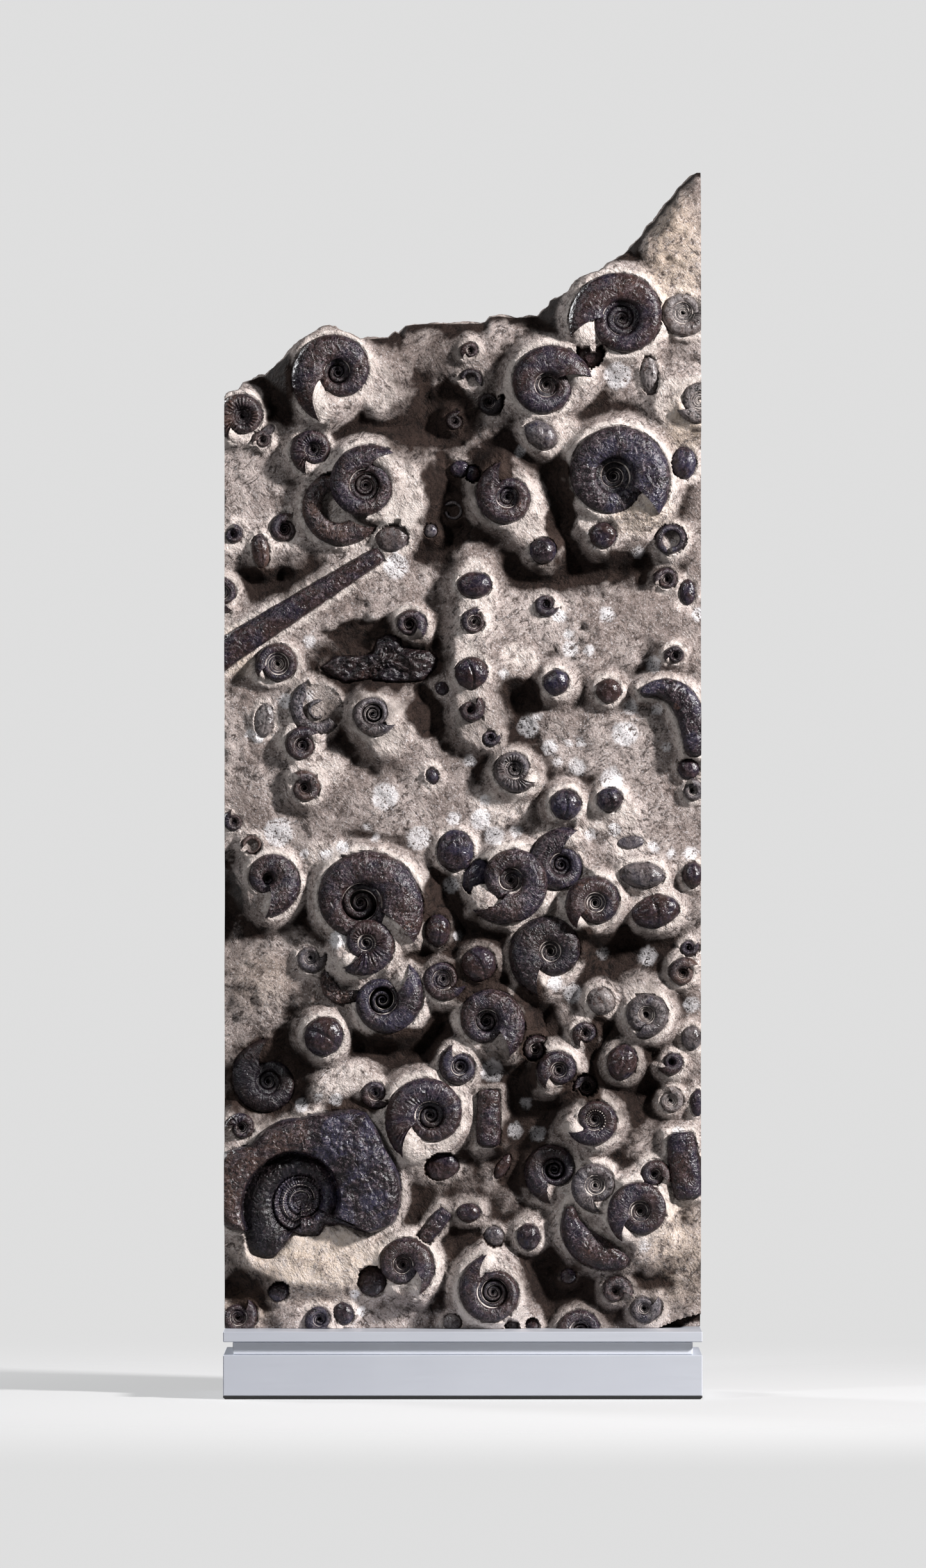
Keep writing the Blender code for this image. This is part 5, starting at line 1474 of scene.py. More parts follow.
def joined(name: str, meshes: list[Mesh]) -> Mesh:
    """One mesh out of several, keeping their materials and paint.

    Args:
        name: the new mesh's name.
        meshes: the meshes to join; they are removed.

    Returns:
        The joined mesh.
    """
    finishes = []
    for mesh in meshes:
        finishes += [finish for finish in mesh.materials if finish not in finishes]
    places, faces, slots = [], [], []
    names = ("grey", "warm", "smooth", "pit", "wound_x", "wound_z", "wound_out")
    paints = {kind: [] for kind in names}
    for mesh in meshes:
        first = sum(len(found) for found in places)
        places.append(read_floats(mesh))
        faces += [[first + i for i in face.vertices] for face in mesh.polygons]
        slots += [finishes.index(mesh.materials[face.material_index]) for face in mesh.polygons]
        for kind, found in paints.items():
            layer = mesh.attributes.get(kind)
            values = np.zeros(len(mesh.vertices), np.float32)
            if layer:
                layer.data.foreach_get("value", values)
            found.append(values)
    whole = bpy.data.meshes.new(name)
    whole.from_pydata(np.concatenate(places).tolist(), [], faces)
    for finish in finishes:
        whole.materials.append(finish)
    whole.polygons.foreach_set("material_index", slots)
    for kind, found in paints.items():
        paint(whole, kind, np.concatenate(found))
    for mesh in meshes:
        bpy.data.meshes.remove(mesh)
    return whole


@dataclass
class DomeBuilder:
    """Makes round shells: swollen coils seen from the edge, with a groove and a rough skin."""

    shell: Material
    depth: float = 12.0
    groove_depth: float = 0.16
    groove_width: float = 0.09
    lobe_rise: float = 0.10
    wear: float = 0.05
    wear_scale: float = 2.2
    fullness: float = 0.82

    def mesh(self, dome: Dome, seed: float) -> Mesh:
        """The shell's closed mesh, cut flush with the slab and painted.

        Args:
            dome: the shell.
            seed: where its noise starts.

        Returns:
            Its mesh.
        """
        work = bmesh.new()
        bmesh.ops.create_icosphere(work, subdivisions=5 if dome.half_height > 15 else 4, radius=1.0)
        turned = math.radians(dome.tilt)
        for vert in work.verts:
            x, up, z = vert.co.x, -vert.co.y, vert.co.z
            aside = x + 0.25 * z * z - 0.1
            groove = self.groove_depth * dome.groove * math.exp(-(aside / self.groove_width) ** 2)
            lobe = 1.0 + self.lobe_rise * dome.groove * math.tanh(aside * 6.0)
            scale = self.wear_scale
            wear = self.wear * fractal(x * scale, up * scale, z * scale + seed)
            size = 1.0 + wear - groove * max(up, 0.0)
            height = dome.thick * lobe if up > 0.0 else self.depth
            full = abs(up) ** self.fullness * height * size * (1.0 if up > 0.0 else -1.0)
            across = x * dome.half_width * size
            along = z * dome.half_height * size
            vert.co = Vector((
                dome.x + across * math.cos(turned) - along * math.sin(turned),
                -(dome.seat + full),
                dome.z + across * math.sin(turned) + along * math.cos(turned),
            )) * MM
        mesh = bpy.data.meshes.new(dome.name)
        work.to_mesh(mesh)
        work.free()
        mesh.materials.append(self.shell)
        face_outwards(mesh)
        cut_flush(mesh)
        tint(mesh, dome.tone, 0.8)
        return mesh


@dataclass
class RibbonBuilder:
    """Makes straight shells and body chambers: rough bars along a path."""

    shell: Material
    depth: float = 12.0
    sides: int = 28
    end_sizes: tuple = (0.72, 0.9, 0.97, 1.0)
    squareness: float = 0.75
    ring_depth: float = 0.10
    ring_pace: float = 1.4
    rough_span: float = 13.0
    rough_aside: float = 0.7
    rough_height: float = 1.1

    def mesh(self, ribbon: Ribbon, seed: float) -> Mesh:
        """The ribbon's closed mesh, cut flush with the slab and painted.

        Args:
            ribbon: the shell.
            seed: where its noise starts.

        Returns:
            Its mesh.
        """
        length = float(np.linalg.norm(np.diff(np.array(ribbon.path, float), axis=0), axis=1).sum())
        points, across, widths = ribbon.line(max(20, int(length / 2.0)))
        rings = []
        for i, (point, side, width) in enumerate(zip(points, across, widths)):
            end = min(i, len(points) - 1 - i)
            full = self.end_sizes[min(end, 3)]
            ring = 1.0 + self.ring_depth * ribbon.rings * math.cos(i * self.ring_pace)
            row = []
            for k in range(self.sides):
                turned = 2.0 * math.pi * k / self.sides
                cosine, sine = math.cos(turned), math.sin(turned)
                wide = math.copysign(abs(cosine) ** self.squareness, cosine) * width * full
                high = math.copysign(abs(sine) ** self.squareness, sine)
                high *= ribbon.thick if sine > 0.0 else self.depth
                rough = fractal(point[0] / self.rough_span, point[1] / self.rough_span, k * 0.5 + seed)
                place = point + side * (wide + self.rough_aside * rough)
                relief = ribbon.seat + high * full * ring + self.rough_height * rough
                row.append((place[0], -relief, place[1]))
            rings.append(row)
        mesh = tube_mesh(ribbon.name, np.array(rings) * MM, self.shell)
        cut_flush(mesh)
        tint(mesh, ribbon.tone, 0.2)
        return mesh


@dataclass
class FragmentBuilder:
    """Makes angular pieces of shell with a rough broken top."""

    shell: Material
    depth: float = 12.0
    directions: int = 110
    samples: int = 24
    # Height and span of the roughness.
    swells: tuple = (4.0, 15.0)
    knobs: tuple = (3.6, 8.0)
    edge_power: float = 7.0

    def mesh(self, piece: Fragment, seed: float) -> Mesh:
        """The piece's closed mesh, painted.

        Args:
            piece: the fragment.
            seed: where its noise starts.

        Returns:
            Its mesh.
        """
        corners = piece.outline()
        middle = corners.mean(0)
        ends = np.roll(corners, -1, axis=0)
        lengths = np.linalg.norm(ends - corners, axis=1)
        places = np.concatenate([[0.0], np.cumsum(lengths)])
        spots = np.linspace(0.0, places[-1], self.directions, endpoint=False)
        closed = np.concatenate([corners, corners[:1]])
        edge = np.stack([np.interp(spots, places, closed[:, k]) for k in (0, 1)], 1)
        rings = []
        for part in np.linspace(0.02, 1.0, self.samples) ** 0.8:
            points = middle + (edge - middle) * part
            rough = self.swells[0] * roughness(points, self.swells[1], seed, 4)
            rough += self.knobs[0] * np.abs(roughness(points, self.knobs[1], seed + 4, 3))
            level = piece.seat + (piece.thick + rough) * (1.0 - part ** self.edge_power) ** 0.5
            rings.append(np.stack([points[:, 0], -level, points[:, 1]], 1))
        foot = rings[-1].copy()
        foot[:, 1] = -(piece.seat - self.depth)
        rings.append(foot)
        mesh = tube_mesh("fragment", np.stack(rings) * MM, self.shell)
        tint(mesh, piece.tone, 0.1)
        # Painted shade over the whole piece.
        paint(mesh, "pit", np.full(len(mesh.vertices), piece.shade))
        return mesh


@dataclass
class GiantBuilder:
    """Makes the giant: a thick broken outer turn round a deep navel with a finely ribbed disc."""

    shell: Material
    rock: Material
    crest: float = 24.0
    inner_crest: float = 7.0
    depth: float = 14.0
    directions: int = 300
    samples: int = 78
    # Ribs are a number in a turn and a depth, and the groove of the seam is a depth and a width.
    disc_growth: float = 1.55
    disc_floor: float = -4.0
    disc_rise: float = 5.0
    disc_turn: float = 4.6
    disc_ribs: tuple = (46.0, 0.45)
    turn_floor: float = -3.0
    turn_ribs: tuple = (40.0, 0.3)
    seam_groove: tuple = (1.5, 0.9)
    wall_span: tuple = (-1.0, 2.6)
    edge_round: float = 2.4
    grey: float = 0.03
    navel: tuple = (
        (-23, 36), (-14, 37), (16, 40), (50, 44), (77, 48), (107, 53), (135, 55), (168, 60), (193, 63),
        (206, 64), (212, 74), (222, 999), (334, 999), (336, 60),
    )
    # Scale, start and end in degrees.
    threads: tuple = ((1.0, -88.0, 262.0), (0.66, -120.0, 240.0), (0.42, -60.0, 200.0))
    seam: tuple = (
        (-90, 16), (0, 19.5), (60, 25.6), (120, 27.5), (180, 29), (225, 31.5), (250, 32), (268, 24),
    )

    def height(self, angle: np.ndarray, reach: np.ndarray) -> np.ndarray:
        """Height above the seat, by direction and radius.

        Args:
            angle: directions from the centre, in degrees.
            reach: distances from the centre.

        Returns:
            One height for each place.
        """
        edge = along_pairs(GIANT_EDGE, angle)
        navel = along_pairs(self.navel, angle)
        seam = along_pairs(self.seam, angle)
        turned = np.radians(angle)
        # The finely ribbed disc: tight turns that sink to the middle.
        ring = np.maximum(reach / seam, 0.03)
        wound = (np.log(ring) / math.log(self.disc_growth) + angle / 360.0) % 1.0
        disc = self.disc_floor + self.disc_rise * ring
        disc += self.disc_turn * ring ** 0.6 * np.sin(wound * math.pi) ** 0.6
        count, depth = self.disc_ribs
        disc += depth * np.cos(turned * count + ring * 3.0) * smooth_step(0.25, 0.7, ring)
        # The second turn, between the disc's seam and the wall of the navel or the broken edge.
        bound = np.minimum(navel, edge)
        part = np.clip((reach - seam) / np.maximum(bound - seam, 1.0), 0.0, 1.0)
        swell = np.sin(0.12 + 0.88 * part ** 0.8 * math.pi) ** 0.7
        second = self.turn_floor + (self.inner_crest + 5.0) * swell
        count, depth = self.turn_ribs
        second += depth * np.cos(turned * count + part * 4.0) * (1.0 - part)
        level = np.where(reach < seam, disc, second)
        level -= self.seam_groove[0] * np.exp(-((reach - seam) / self.seam_groove[1]) ** 2)
        # The thick outer turn.
        wall = smooth_step(*self.wall_span, reach - navel)
        wide = np.clip((reach - navel) / np.maximum(edge - navel, 1.0), 0.0, 1.0)
        band = self.crest * (0.84 + 0.16 * np.sin(wide * math.pi) ** 0.7)
        level = level + (band - level) * wall * (navel < edge)
        inset = np.maximum(edge - reach, 0.0)
        return level * (1.0 - np.exp(-inset / self.edge_round)) ** 0.55

    @staticmethod
    def browned(x: np.ndarray, z: np.ndarray) -> np.ndarray:
        """How brown the shell is: 1 at its left and 0 at its right, on both sides of a leaning line."""
        return 1.0 - smooth_step(-172.0, -146.0, x + 0.12 * (z - 260.0))

    def mesh(self) -> Mesh:
        """The giant's closed mesh, cut flush with the slab's side and painted.

        Returns:
            The mesh.
        """
        angles = np.linspace(0.0, 360.0, self.directions, endpoint=False)
        edge = along_pairs(GIANT_EDGE, angles)
        parts = np.linspace(0.0, 1.0, self.samples) ** 0.9
        grid_angle, grid_part = np.meshgrid(angles, parts, indexing="ij")
        reach = grid_part * edge[:, None]
        level = self.height(grid_angle.ravel(), reach.ravel()).reshape(reach.shape)
        points = placed(GIANT_CENTRE, grid_angle.ravel(), reach.ravel())
        high = smooth_step(10.0, 20.0, level.ravel())
        brown = self.browned(points[:, 0], points[:, 1])
        rough = high * (1.25 - 0.9 * brown) * (
            Grain.GIANT_SWELLS.over(points) + np.abs(Grain.GIANT_KNOBS.over(points))
        )
        rough += (0.3 + 0.4 * high) * Grain.GIANT_SAND.over(points)
        fade = np.minimum(1.0, (1.0 - grid_part.ravel()) * 14.0)
        relief = GIANT_SEAT + level.ravel() + rough * fade
        places = np.stack([points[:, 0], -relief, points[:, 1]], 1)
        count, samples = self.directions, self.samples
        foot = places.reshape(count, samples, 3)[:, -1].copy()
        foot[:, 1] = -(GIANT_SEAT - self.depth)
        under = (GIANT_CENTRE[0], -(GIANT_SEAT - self.depth), GIANT_CENTRE[1])
        places = np.concatenate([places, foot, [under]])
        faces = []
        for i in range(count):
            j = (i + 1) % count
            for k in range(1, samples - 1):
                faces.append((i * samples + k, j * samples + k, j * samples + k + 1, i * samples + k + 1))
            faces.append((0, i * samples + 1, j * samples + 1))
            first, following = count * samples + i, count * samples + j
            faces.append((i * samples + samples - 1, j * samples + samples - 1, following, first))
            faces.append((first, following, count * samples + count))
        # All spokes start at one middle vertex.
        faces = [tuple(0 if index < count * samples and index % samples == 0 else index for index in face)
                 for face in faces]
        mesh = bpy.data.meshes.new("giant_ammonite")
        mesh.from_pydata((places * MM).tolist(), [], faces)
        work = bmesh.new()
        work.from_mesh(mesh)
        bmesh.ops.delete(work, geom=[vert for vert in work.verts if not vert.link_faces], context="VERTS")
        work.to_mesh(mesh)
        work.free()
        mesh.materials.append(self.shell)
        face_outwards(mesh)
        cut_flush(mesh)
        found = read_floats(mesh) / MM
        paint(mesh, "grey", np.full(len(found), self.grey))
        brown = self.browned(found[:, 0], found[:, 2])
        raised = smooth_step(12.0, 20.0, -found[:, 1] - GIANT_SEAT)
        paint(mesh, "warm", 0.85 * brown * raised - 0.5 * (1.0 - brown))
        aside, over = found[:, 0] - GIANT_CENTRE[0], found[:, 2] - GIANT_CENTRE[1]
        reach, angle = np.hypot(aside, over), np.degrees(np.arctan2(over, aside)) % 360.0
        # Painted shade over the deep second turn in the left part of the navel.
        past_seam = smooth_step(-1.0, 3.0, reach - along_pairs(self.seam, angle))
        short = 1.0 - smooth_step(-0.5, 2.5, reach - along_pairs(self.navel, angle))
        left = smooth_step(70.0, 110.0, angle) * (1.0 - smooth_step(225.0, 262.0, angle))
        paint(mesh, "pit", past_seam * short * left)
        return mesh

    def seams(self) -> list[Mesh]:
        """Pale threads of rock in the giant's inner seams.

        Returns:
            One mesh for each thread.
        """
        threads = []
        for scale, start, end in self.threads:
            angles = np.arange(start, end, 5.0)
            reach = along_pairs(self.seam, angles) * scale
            level = GIANT_SEAT + self.height(angles, reach) - 0.1
            size = 0.42 * scale ** 0.4 * (0.6 + 0.5 * np.abs(np.sin(angles * 0.05)))
            threads.append(thread_mesh(GIANT_CENTRE, angles, reach, level, size, self.rock))
        return threads


@dataclass
class RockBuilder:
    """Makes the slab: a finely meshed front, a rounded broken top, sawn sides and a rough back."""

    relief: Relief
    stone: Material
    sawn: Material

    @staticmethod
    def border() -> np.ndarray:
        """The slab's outline as closely spaced points, anticlockwise as seen from the front.

        Returns:
            The points, one in a row.
        """
        corners = [(-HALF_WIDTH, SLAB_BOTTOM), (HALF_WIDTH, SLAB_BOTTOM)] + list(TOP_LINE[::-1])
        corners = np.array(corners, float)
        points = []
        for start, end in zip(corners, np.roll(corners, -1, axis=0)):
            pieces = max(1, round(float(np.linalg.norm(end - start)) / BORDER_STEP))
            points += [start + (end - start) * i / pieces for i in range(pieces)]
        return np.array(points)

    def front_points(self, border: np.ndarray) -> np.ndarray:
        """Points inside the border: fine near the shells and coarse elsewhere.

        Args:
            border: the outline's points.

        Returns:
            The points, one in a row.
        """
        rise = FINE_STEP * math.sqrt(0.75)
        rows = int((TOP_LINE[-1][1] - SLAB_BOTTOM) / rise) + 1
        columns = int(2.0 * HALF_WIDTH / FINE_STEP) + 1
        row, column = np.meshgrid(np.arange(rows), np.arange(columns), indexing="ij")
        x = -HALF_WIDTH + (column + 0.5 * (row % 2)) * FINE_STEP
        z = SLAB_BOTTOM + row * rise
        coarse = (row % COARSE_EVERY == 0) & ((column + row // COARSE_EVERY % 2) % COARSE_EVERY == 0)
        points = np.stack([x.ravel(), z.ravel()], 1)
        near = np.full(len(points), SEAT_REACH)
        for index, reach in self.relief.reaches(points):
            near[index] = np.minimum(near[index], reach)
        step = np.abs(points[:, 1] - self.relief.corner_at(points[:, 0]))
        fine = ((near > -2.5) & (near < FINE_REACH)) | (step < 4.0)
        fine |= self.relief.mouths(points) > HARDLY_BARE
        hidden = (near < -6.0) & (row.ravel() % 4 != 0)
        keep = (fine | coarse.ravel()) & ~hidden
        points = points[keep]
        scatter = np.random.default_rng(SEED)
        points = points + scatter.uniform(-SCATTER, SCATTER, points.shape) * FINE_STEP
        room = np.abs(points[:, 0]) < HALF_WIDTH - BORDER_ROOM
        room &= points[:, 1] > SLAB_BOTTOM + BORDER_ROOM
        room &= points[:, 1] < self.relief.top_at(points[:, 0]) - 0.5
        points = points[room]
        high = np.nonzero(points[:, 1] > TOP_LINE[0][1] - 8.0)[0]
        dropped = high[distance_to(border[::3], points[high]) > -BORDER_ROOM]
        return np.delete(points, dropped, axis=0)

    @staticmethod
    def triangles(points: np.ndarray, count: int) -> list:
        """Delaunay triangles inside the border, whose points come first.

        Args:
            points: the border's points and then the others.
            count: how many of them are the border's.

        Returns:
            The triangles, as indices of the points.
        """
        edges = [(i, (i + 1) % count) for i in range(count)]
        found = delaunay_2d_cdt([Vector(point) for point in points], edges, [], 1, 1e-5)
        place = {index: origin[0] for index, origin in enumerate(found[3]) if origin}
        return [tuple(place[i] for i in face) for face in found[2] if all(i in place for i in face)]

    def back_points(self, border: np.ndarray) -> np.ndarray:
        """Coarse points inside the border, for the back.

        Args:
            border: the outline's points.

        Returns:
            The points, one in a row.
        """
        x, z = np.meshgrid(
            np.arange(-HALF_WIDTH + BACK_STEP, HALF_WIDTH, BACK_STEP),
            np.arange(SLAB_BOTTOM + BACK_STEP, TOP_LINE[-1][1], BACK_STEP),
        )
        points = np.stack([x.ravel(), z.ravel()], 1)
        return points[distance_to(border[::2], points) < -4.0]

    def back_levels(self, points: np.ndarray) -> np.ndarray:
        """Relief of the back.

        Args:
            points: places on the back, one in a row.

        Returns:
            One relief for each point.
        """
        roll = [noise.noise(Vector((x / BACK_SPAN, z / BACK_SPAN, 7.0))) for x, z in points]
        level = BACK_RELIEF + BACK_ROUGHNESS * np.array(roll)
        level += Grain.BACK.over(points) + np.abs(Grain.BACK_KNOBS.over(points))
        below_top = np.clip((self.relief.top_at(points[:, 0]) - points[:, 1]) / TOP_ROUND, 0.0, 1.0)
        return level + 0.5 * TOP_FALL * (1.0 - below_top) ** 2

    def wall(self, border: np.ndarray, front: np.ndarray, back: np.ndarray) -> tuple[list, list]:
        """Points between the front's and the back's border, with a rough broken top.

        Args:
            border: the outline's points.
            front: relief of the front at each of them.
            back: relief of the back at each of them.

        Returns:
            New places, and for each border point the indices into them, from front to back.
        """
        outward = np.roll(border, 1, axis=0) - np.roll(border, -1, axis=0)
        outward = np.stack([-outward[:, 1], outward[:, 0]], 1)
        outward /= np.maximum(np.linalg.norm(outward, axis=1), 1e-9)[:, None]
        places, columns = [], []
        for i, (x, z) in enumerate(border):
            column = []
            if z > TOP_LINE[0][1] - 0.5 and z > self.relief.top_at(np.array([x]))[0] - 1.0:
                on_side = abs(x) > HALF_WIDTH - 0.5
                for row in range(1, TOP_ROWS):
                    part = row / TOP_ROWS
                    level = front[i] + (back[i] - front[i]) * part
                    rough = fractal(x / EDGE_SPAN, level / EDGE_SPAN, z / EDGE_SPAN)
                    push = (EDGE_SWELL + EDGE_ROUGHNESS * rough) * math.sin(part * math.pi) * (not on_side)
                    column.append(len(places))
                    # The top never rises over the plate's highest corner.
                    height = min(z + outward[i][1] * push, TOP_LINE[-1][1])
                    width = max(-HALF_WIDTH, min(HALF_WIDTH, x + outward[i][0] * push))
                    places.append((width, -level, height))
            columns.append(column)
        return places, columns

    def mesh(self) -> Mesh:
        """The slab's closed mesh with its paint.

        Returns:
            The mesh.
        """
        border = self.border()
        count = len(border)
        points = np.concatenate([border, self.front_points(border)])
        faces = self.triangles(points, count)
        found = self.relief.levels(points)
        log.info("rock front: %d points, %d triangles", len(points), len(faces))

        back = np.concatenate([border, self.back_points(border)])
        back_level = np.where(back[:, 1] < SLAB_BOTTOM + 1.0, BACK_RELIEF, self.back_levels(back))
        wall_places, columns = self.wall(border, found["level"][:count], back_level[:count])
        places = np.concatenate([
            np.stack([points[:, 0], -found["level"], points[:, 1]], 1),
            np.stack([back[:, 0], -back_level, back[:, 1]], 1),
            np.array(wall_places),
        ])
        shift = len(points)
        faces += [tuple(shift + i for i in reversed(face)) for face in self.triangles(back, count)]
        rough_faces, sawn_faces = self.wall_faces(columns, shift, shift + len(back))
        faces += rough_faces
        log.info("slab: %d faces, %d of them sawn", len(faces) + len(sawn_faces), len(sawn_faces))
        mesh = bpy.data.meshes.new("rock_slab_dressed")
        mesh.from_pydata((places * MM).tolist(), [], faces + sawn_faces)
        mesh.materials.append(self.stone)
        mesh.materials.append(self.sawn)
        mesh.polygons.foreach_set("material_index", [0] * len(faces) + [1] * len(sawn_faces))
        self.paint(mesh, points, found)
        face_outwards(mesh)
        return mesh

    @staticmethod
    def wall_faces(columns: list, front: int, back: int) -> tuple[list, list]:
        """Faces between the front's and the back's border.

        Args:
            columns: for each border point, the indices of the wall's places from front to back.
            front: how many points the front has.
            back: how many points the front and the back have.

        Returns:
            The faces of the broken top and those of the sawn sides.
        """
        rough, sawn = [], []
        for i, column in enumerate(columns):
            j = (i + 1) % len(columns)
            here = [i, *(back + k for k in column), front + i]
            there = [j, *(back + k for k in columns[j]), front + j]
            if len(here) == len(there):
                faces = [(here[k], here[k + 1], there[k + 1], there[k]) for k in range(len(here) - 1)]
                (rough if len(here) > 2 else sawn).extend(faces)
            else:
                sawn += [(there[0], here[k], here[k + 1]) for k in range(len(here) - 1)]
                sawn += [(here[-1], there[k + 1], there[k]) for k in range(len(there) - 1)]
        return rough, sawn

    def paint(self, mesh: Mesh, points: np.ndarray, found: dict[str, np.ndarray]) -> None:
        """Paints where the limestone is smoothed, white and tan, and the painted shade of its hollows.

        Args:
            mesh: the slab's mesh, whose first vertices are the front's points.
            points: the front's points.
            found: relief and paint of the front, from Relief.levels.
        """
        stands = self.stands(points, found["level"])
        raised = smooth_step(0.0, 13.0, stands)
        uneven = Grain.PAINT.over(points)
        # The smoothed rock's own cream round the shells, made paler where the rock stands higher than what is
        # around it: partly its colour, partly painted light.
        rim = np.maximum(
            found["edge"] * (0.30 + 0.30 * raised + 0.5 * uneven),
            found["flank"] * (0.50 + 0.50 * raised) * (0.95 + 0.4 * uneven),
        )
        # Painted shade: darker where the rock lies below what is around it, and in the listed shaded places.
        hollow = smooth_step(0.5, 14.0, -stands) * 0.85 + found["dark"] * (0.95 + 0.4 * uneven)
        hollow = np.clip(hollow, 0.0, 1.0)
        # White patches are dimmed under the painted shade.
        spot = found["spot"] * (1.0 - 0.6 * hollow)
        # The last number is the paint of the back and the sides; there the hollow paint is a little painted
        # shade.
        for name, values, rest in (
            ("rim", rim, 0.0), ("spot", spot, 0.0), ("tan", found["tan"], 0.15), ("hollow", hollow, 0.1),
        ):
            extra = np.full(len(mesh.vertices) - len(points), rest)
            paint(mesh, name, np.concatenate([values, extra]))

    @staticmethod
    def stands(points: np.ndarray, level: np.ndarray) -> np.ndarray:
        """How far each point stands over the mean of what lies around it, in millimetres.

        Args:
            points: places on the front, one in a row, in millimetres.
            level: relief at each of them.

        Returns:
            One height for each point.
        """
        columns = int(2.0 * HALF_WIDTH / MEAN_PITCH) + 1
        rows = int((TOP_LINE[-1][1] - SLAB_BOTTOM) / MEAN_PITCH) + 2
        column = np.clip(((points[:, 0] + HALF_WIDTH) / MEAN_PITCH).astype(int), 0, columns - 1)
        row = np.clip(((points[:, 1] - SLAB_BOTTOM) / MEAN_PITCH).astype(int), 0, rows - 1)
        total, amount = np.zeros((2, rows, columns))
        np.add.at(total, (row, column), level)
        np.add.at(amount, (row, column), 1.0)
        for _ in range(MEAN_ROUNDS):
            for grid in (total, amount):
                grid[1:-1] = 0.25 * grid[:-2] + 0.5 * grid[1:-1] + 0.25 * grid[2:]
                grid[:, 1:-1] = 0.25 * grid[:, :-2] + 0.5 * grid[:, 1:-1] + 0.25 * grid[:, 2:]
        mean = total / np.maximum(amount, 1e-3)
        return level - mean[row, column]


@dataclass(frozen=True)
class Palette:
    """Helper that lays shader nodes in one material."""

    material: Material

    @staticmethod
    def start(name: str) -> "Palette":
        """A new material with a principled shader.

        Args:
            name: the material's name.

        Returns:
            A helper for that material.
        """
        material = bpy.data.materials.new(name)
        material.use_nodes = True
        return Palette(material)

    @property
    def tree(self) -> NodeTree:
        """The material's node tree."""
        return self.material.node_tree

    @property
    def shader(self) -> Node:
        """The principled shader."""
        return self.tree.nodes["Principled BSDF"]

    def coordinates(self, scale: tuple = (1.0, 1.0, 1.0), turn: tuple = (0.0, 0.0, 0.0)
                    ) -> NodeSocket:
        """Object coordinates for a pattern that is stretched and then turned, in degrees.

        Args:
            scale: how much it is stretched along each axis.
            turn: its turn round each axis.

        Returns:
            The coordinates.
        """
        node = add_node(
            self.tree, "ShaderNodeMapping", vector_type="TEXTURE", Scale=scale,
            Rotation=tuple(math.radians(angle) for angle in turn),
            Vector=add_node(self.tree, "ShaderNodeTexCoord").outputs["Object"],
        )
        return node.outputs[0]

    def noise(self, where: NodeSocket, scale: float, detail: float = 6.0, rough: float = 0.6,
              warp: float = 0.0) -> Term:
        """Noise from 0 to 1.

        Args:
            where: the coordinates.
            scale: how many features there are in a metre.
            detail: octaves.
            rough: strength of the finer octaves.
            warp: how far it is distorted.

        Returns:
            The noise.
        """
        node = add_node(
            self.tree, "ShaderNodeTexNoise", Scale=scale, Detail=detail, Roughness=rough, Distortion=warp,
            Vector=where,
        )
        return Term(self.tree, node.outputs[0])

    def cells(self, where: NodeSocket, scale: float, feature: str = "DISTANCE_TO_EDGE") -> Term:
        """Distance in a pattern of cells."""
        node = add_node(self.tree, "ShaderNodeTexVoronoi", feature=feature, Scale=scale, Vector=where)
        return Term(self.tree, node.outputs["Distance"])

    def painted(self, name: str) -> Term:
        """A painted vertex value."""
        node = add_node(self.tree, "ShaderNodeAttribute", attribute_name=name)
        return Term(self.tree, node.outputs["Fac"])

    def wound(self, around: float, outward: float) -> NodeSocket:
        """Coordinates that follow a coiled shell, for lines across its turns.

        Args:
            around: their scale round the shell.
            outward: their scale outwards.

        Returns:
            The coordinates.
        """
        x, y = self.painted("wound_x") * around, self.painted("wound_z") * around
        z = self.painted("wound_out") * outward
        return add_node(self.tree, "ShaderNodeCombineXYZ", X=x, Y=y, Z=z).outputs[0]

    def between(self, value: Term, low: float, high: float) -> Term:
        """0 below low, 1 above high, smooth between them.

        Args:
            value: the number.
            low: where the rise starts.
            high: where it ends.

        Returns:
            The share.
        """
        node = add_node(
            self.tree, "ShaderNodeMapRange", interpolation_type="SMOOTHSTEP", From_Min=low, From_Max=high,
            Value=value,
        )
        return Term(self.tree, node.outputs["Result"])

    def mix(self, share: Term, one: object, other: object, blend: str = "MIX") -> NodeSocket:
        """A colour between two colours, each a socket or three numbers; blend MULTIPLY darkens instead.

        Args:
            share: share of the other colour.
            one: the colour below.
            other: the colour on top.
            blend: the way to blend.

        Returns:
            The mixed colour.
        """
        node = add_node(self.tree, "ShaderNodeMix", data_type="RGBA", blend_type=blend, Factor=share)
        for place, colour in ((node.inputs[6], one), (node.inputs[7], other)):
            if isinstance(colour, tuple):
                place.default_value = (*colour, 1.0)
            else:
                self.tree.links.new(colour, place)
        return node.outputs[2]

    def coats(self, colour: NodeSocket, *coats: tuple) -> NodeSocket:
        """A colour with coats over it, each a share, a colour and perhaps a way to blend.

        Args:
            colour: the colour below.
            coats: the coats, from the lowest to the topmost.

        Returns:
            The colour on top.
        """
        for share, coat, *blend in coats:
            colour = self.mix(share, colour, coat, *blend)
        return colour

    def finish(self, colour: NodeSocket, roughness: Term, height: Term, depth: float,
               strength: float = 1.0) -> Material:
        """Joins colour, roughness and relief to the shader.

        Args:
            colour: the base colour.
            roughness: the roughness.
            height: fine relief from 0 to 1.
            depth: how deep that relief is, in metres.
            strength: how much of it shows.

        Returns:
            The finished material.
        """
        bump = add_node(self.tree, "ShaderNodeBump", Strength=strength, Distance=depth, Height=height)
        self.tree.links.new(bump.outputs[0], self.shader.inputs["Normal"])
        self.tree.links.new(colour, self.shader.inputs["Base Color"])
        self.tree.links.new(roughness.socket, self.shader.inputs["Roughness"])
        return self.material


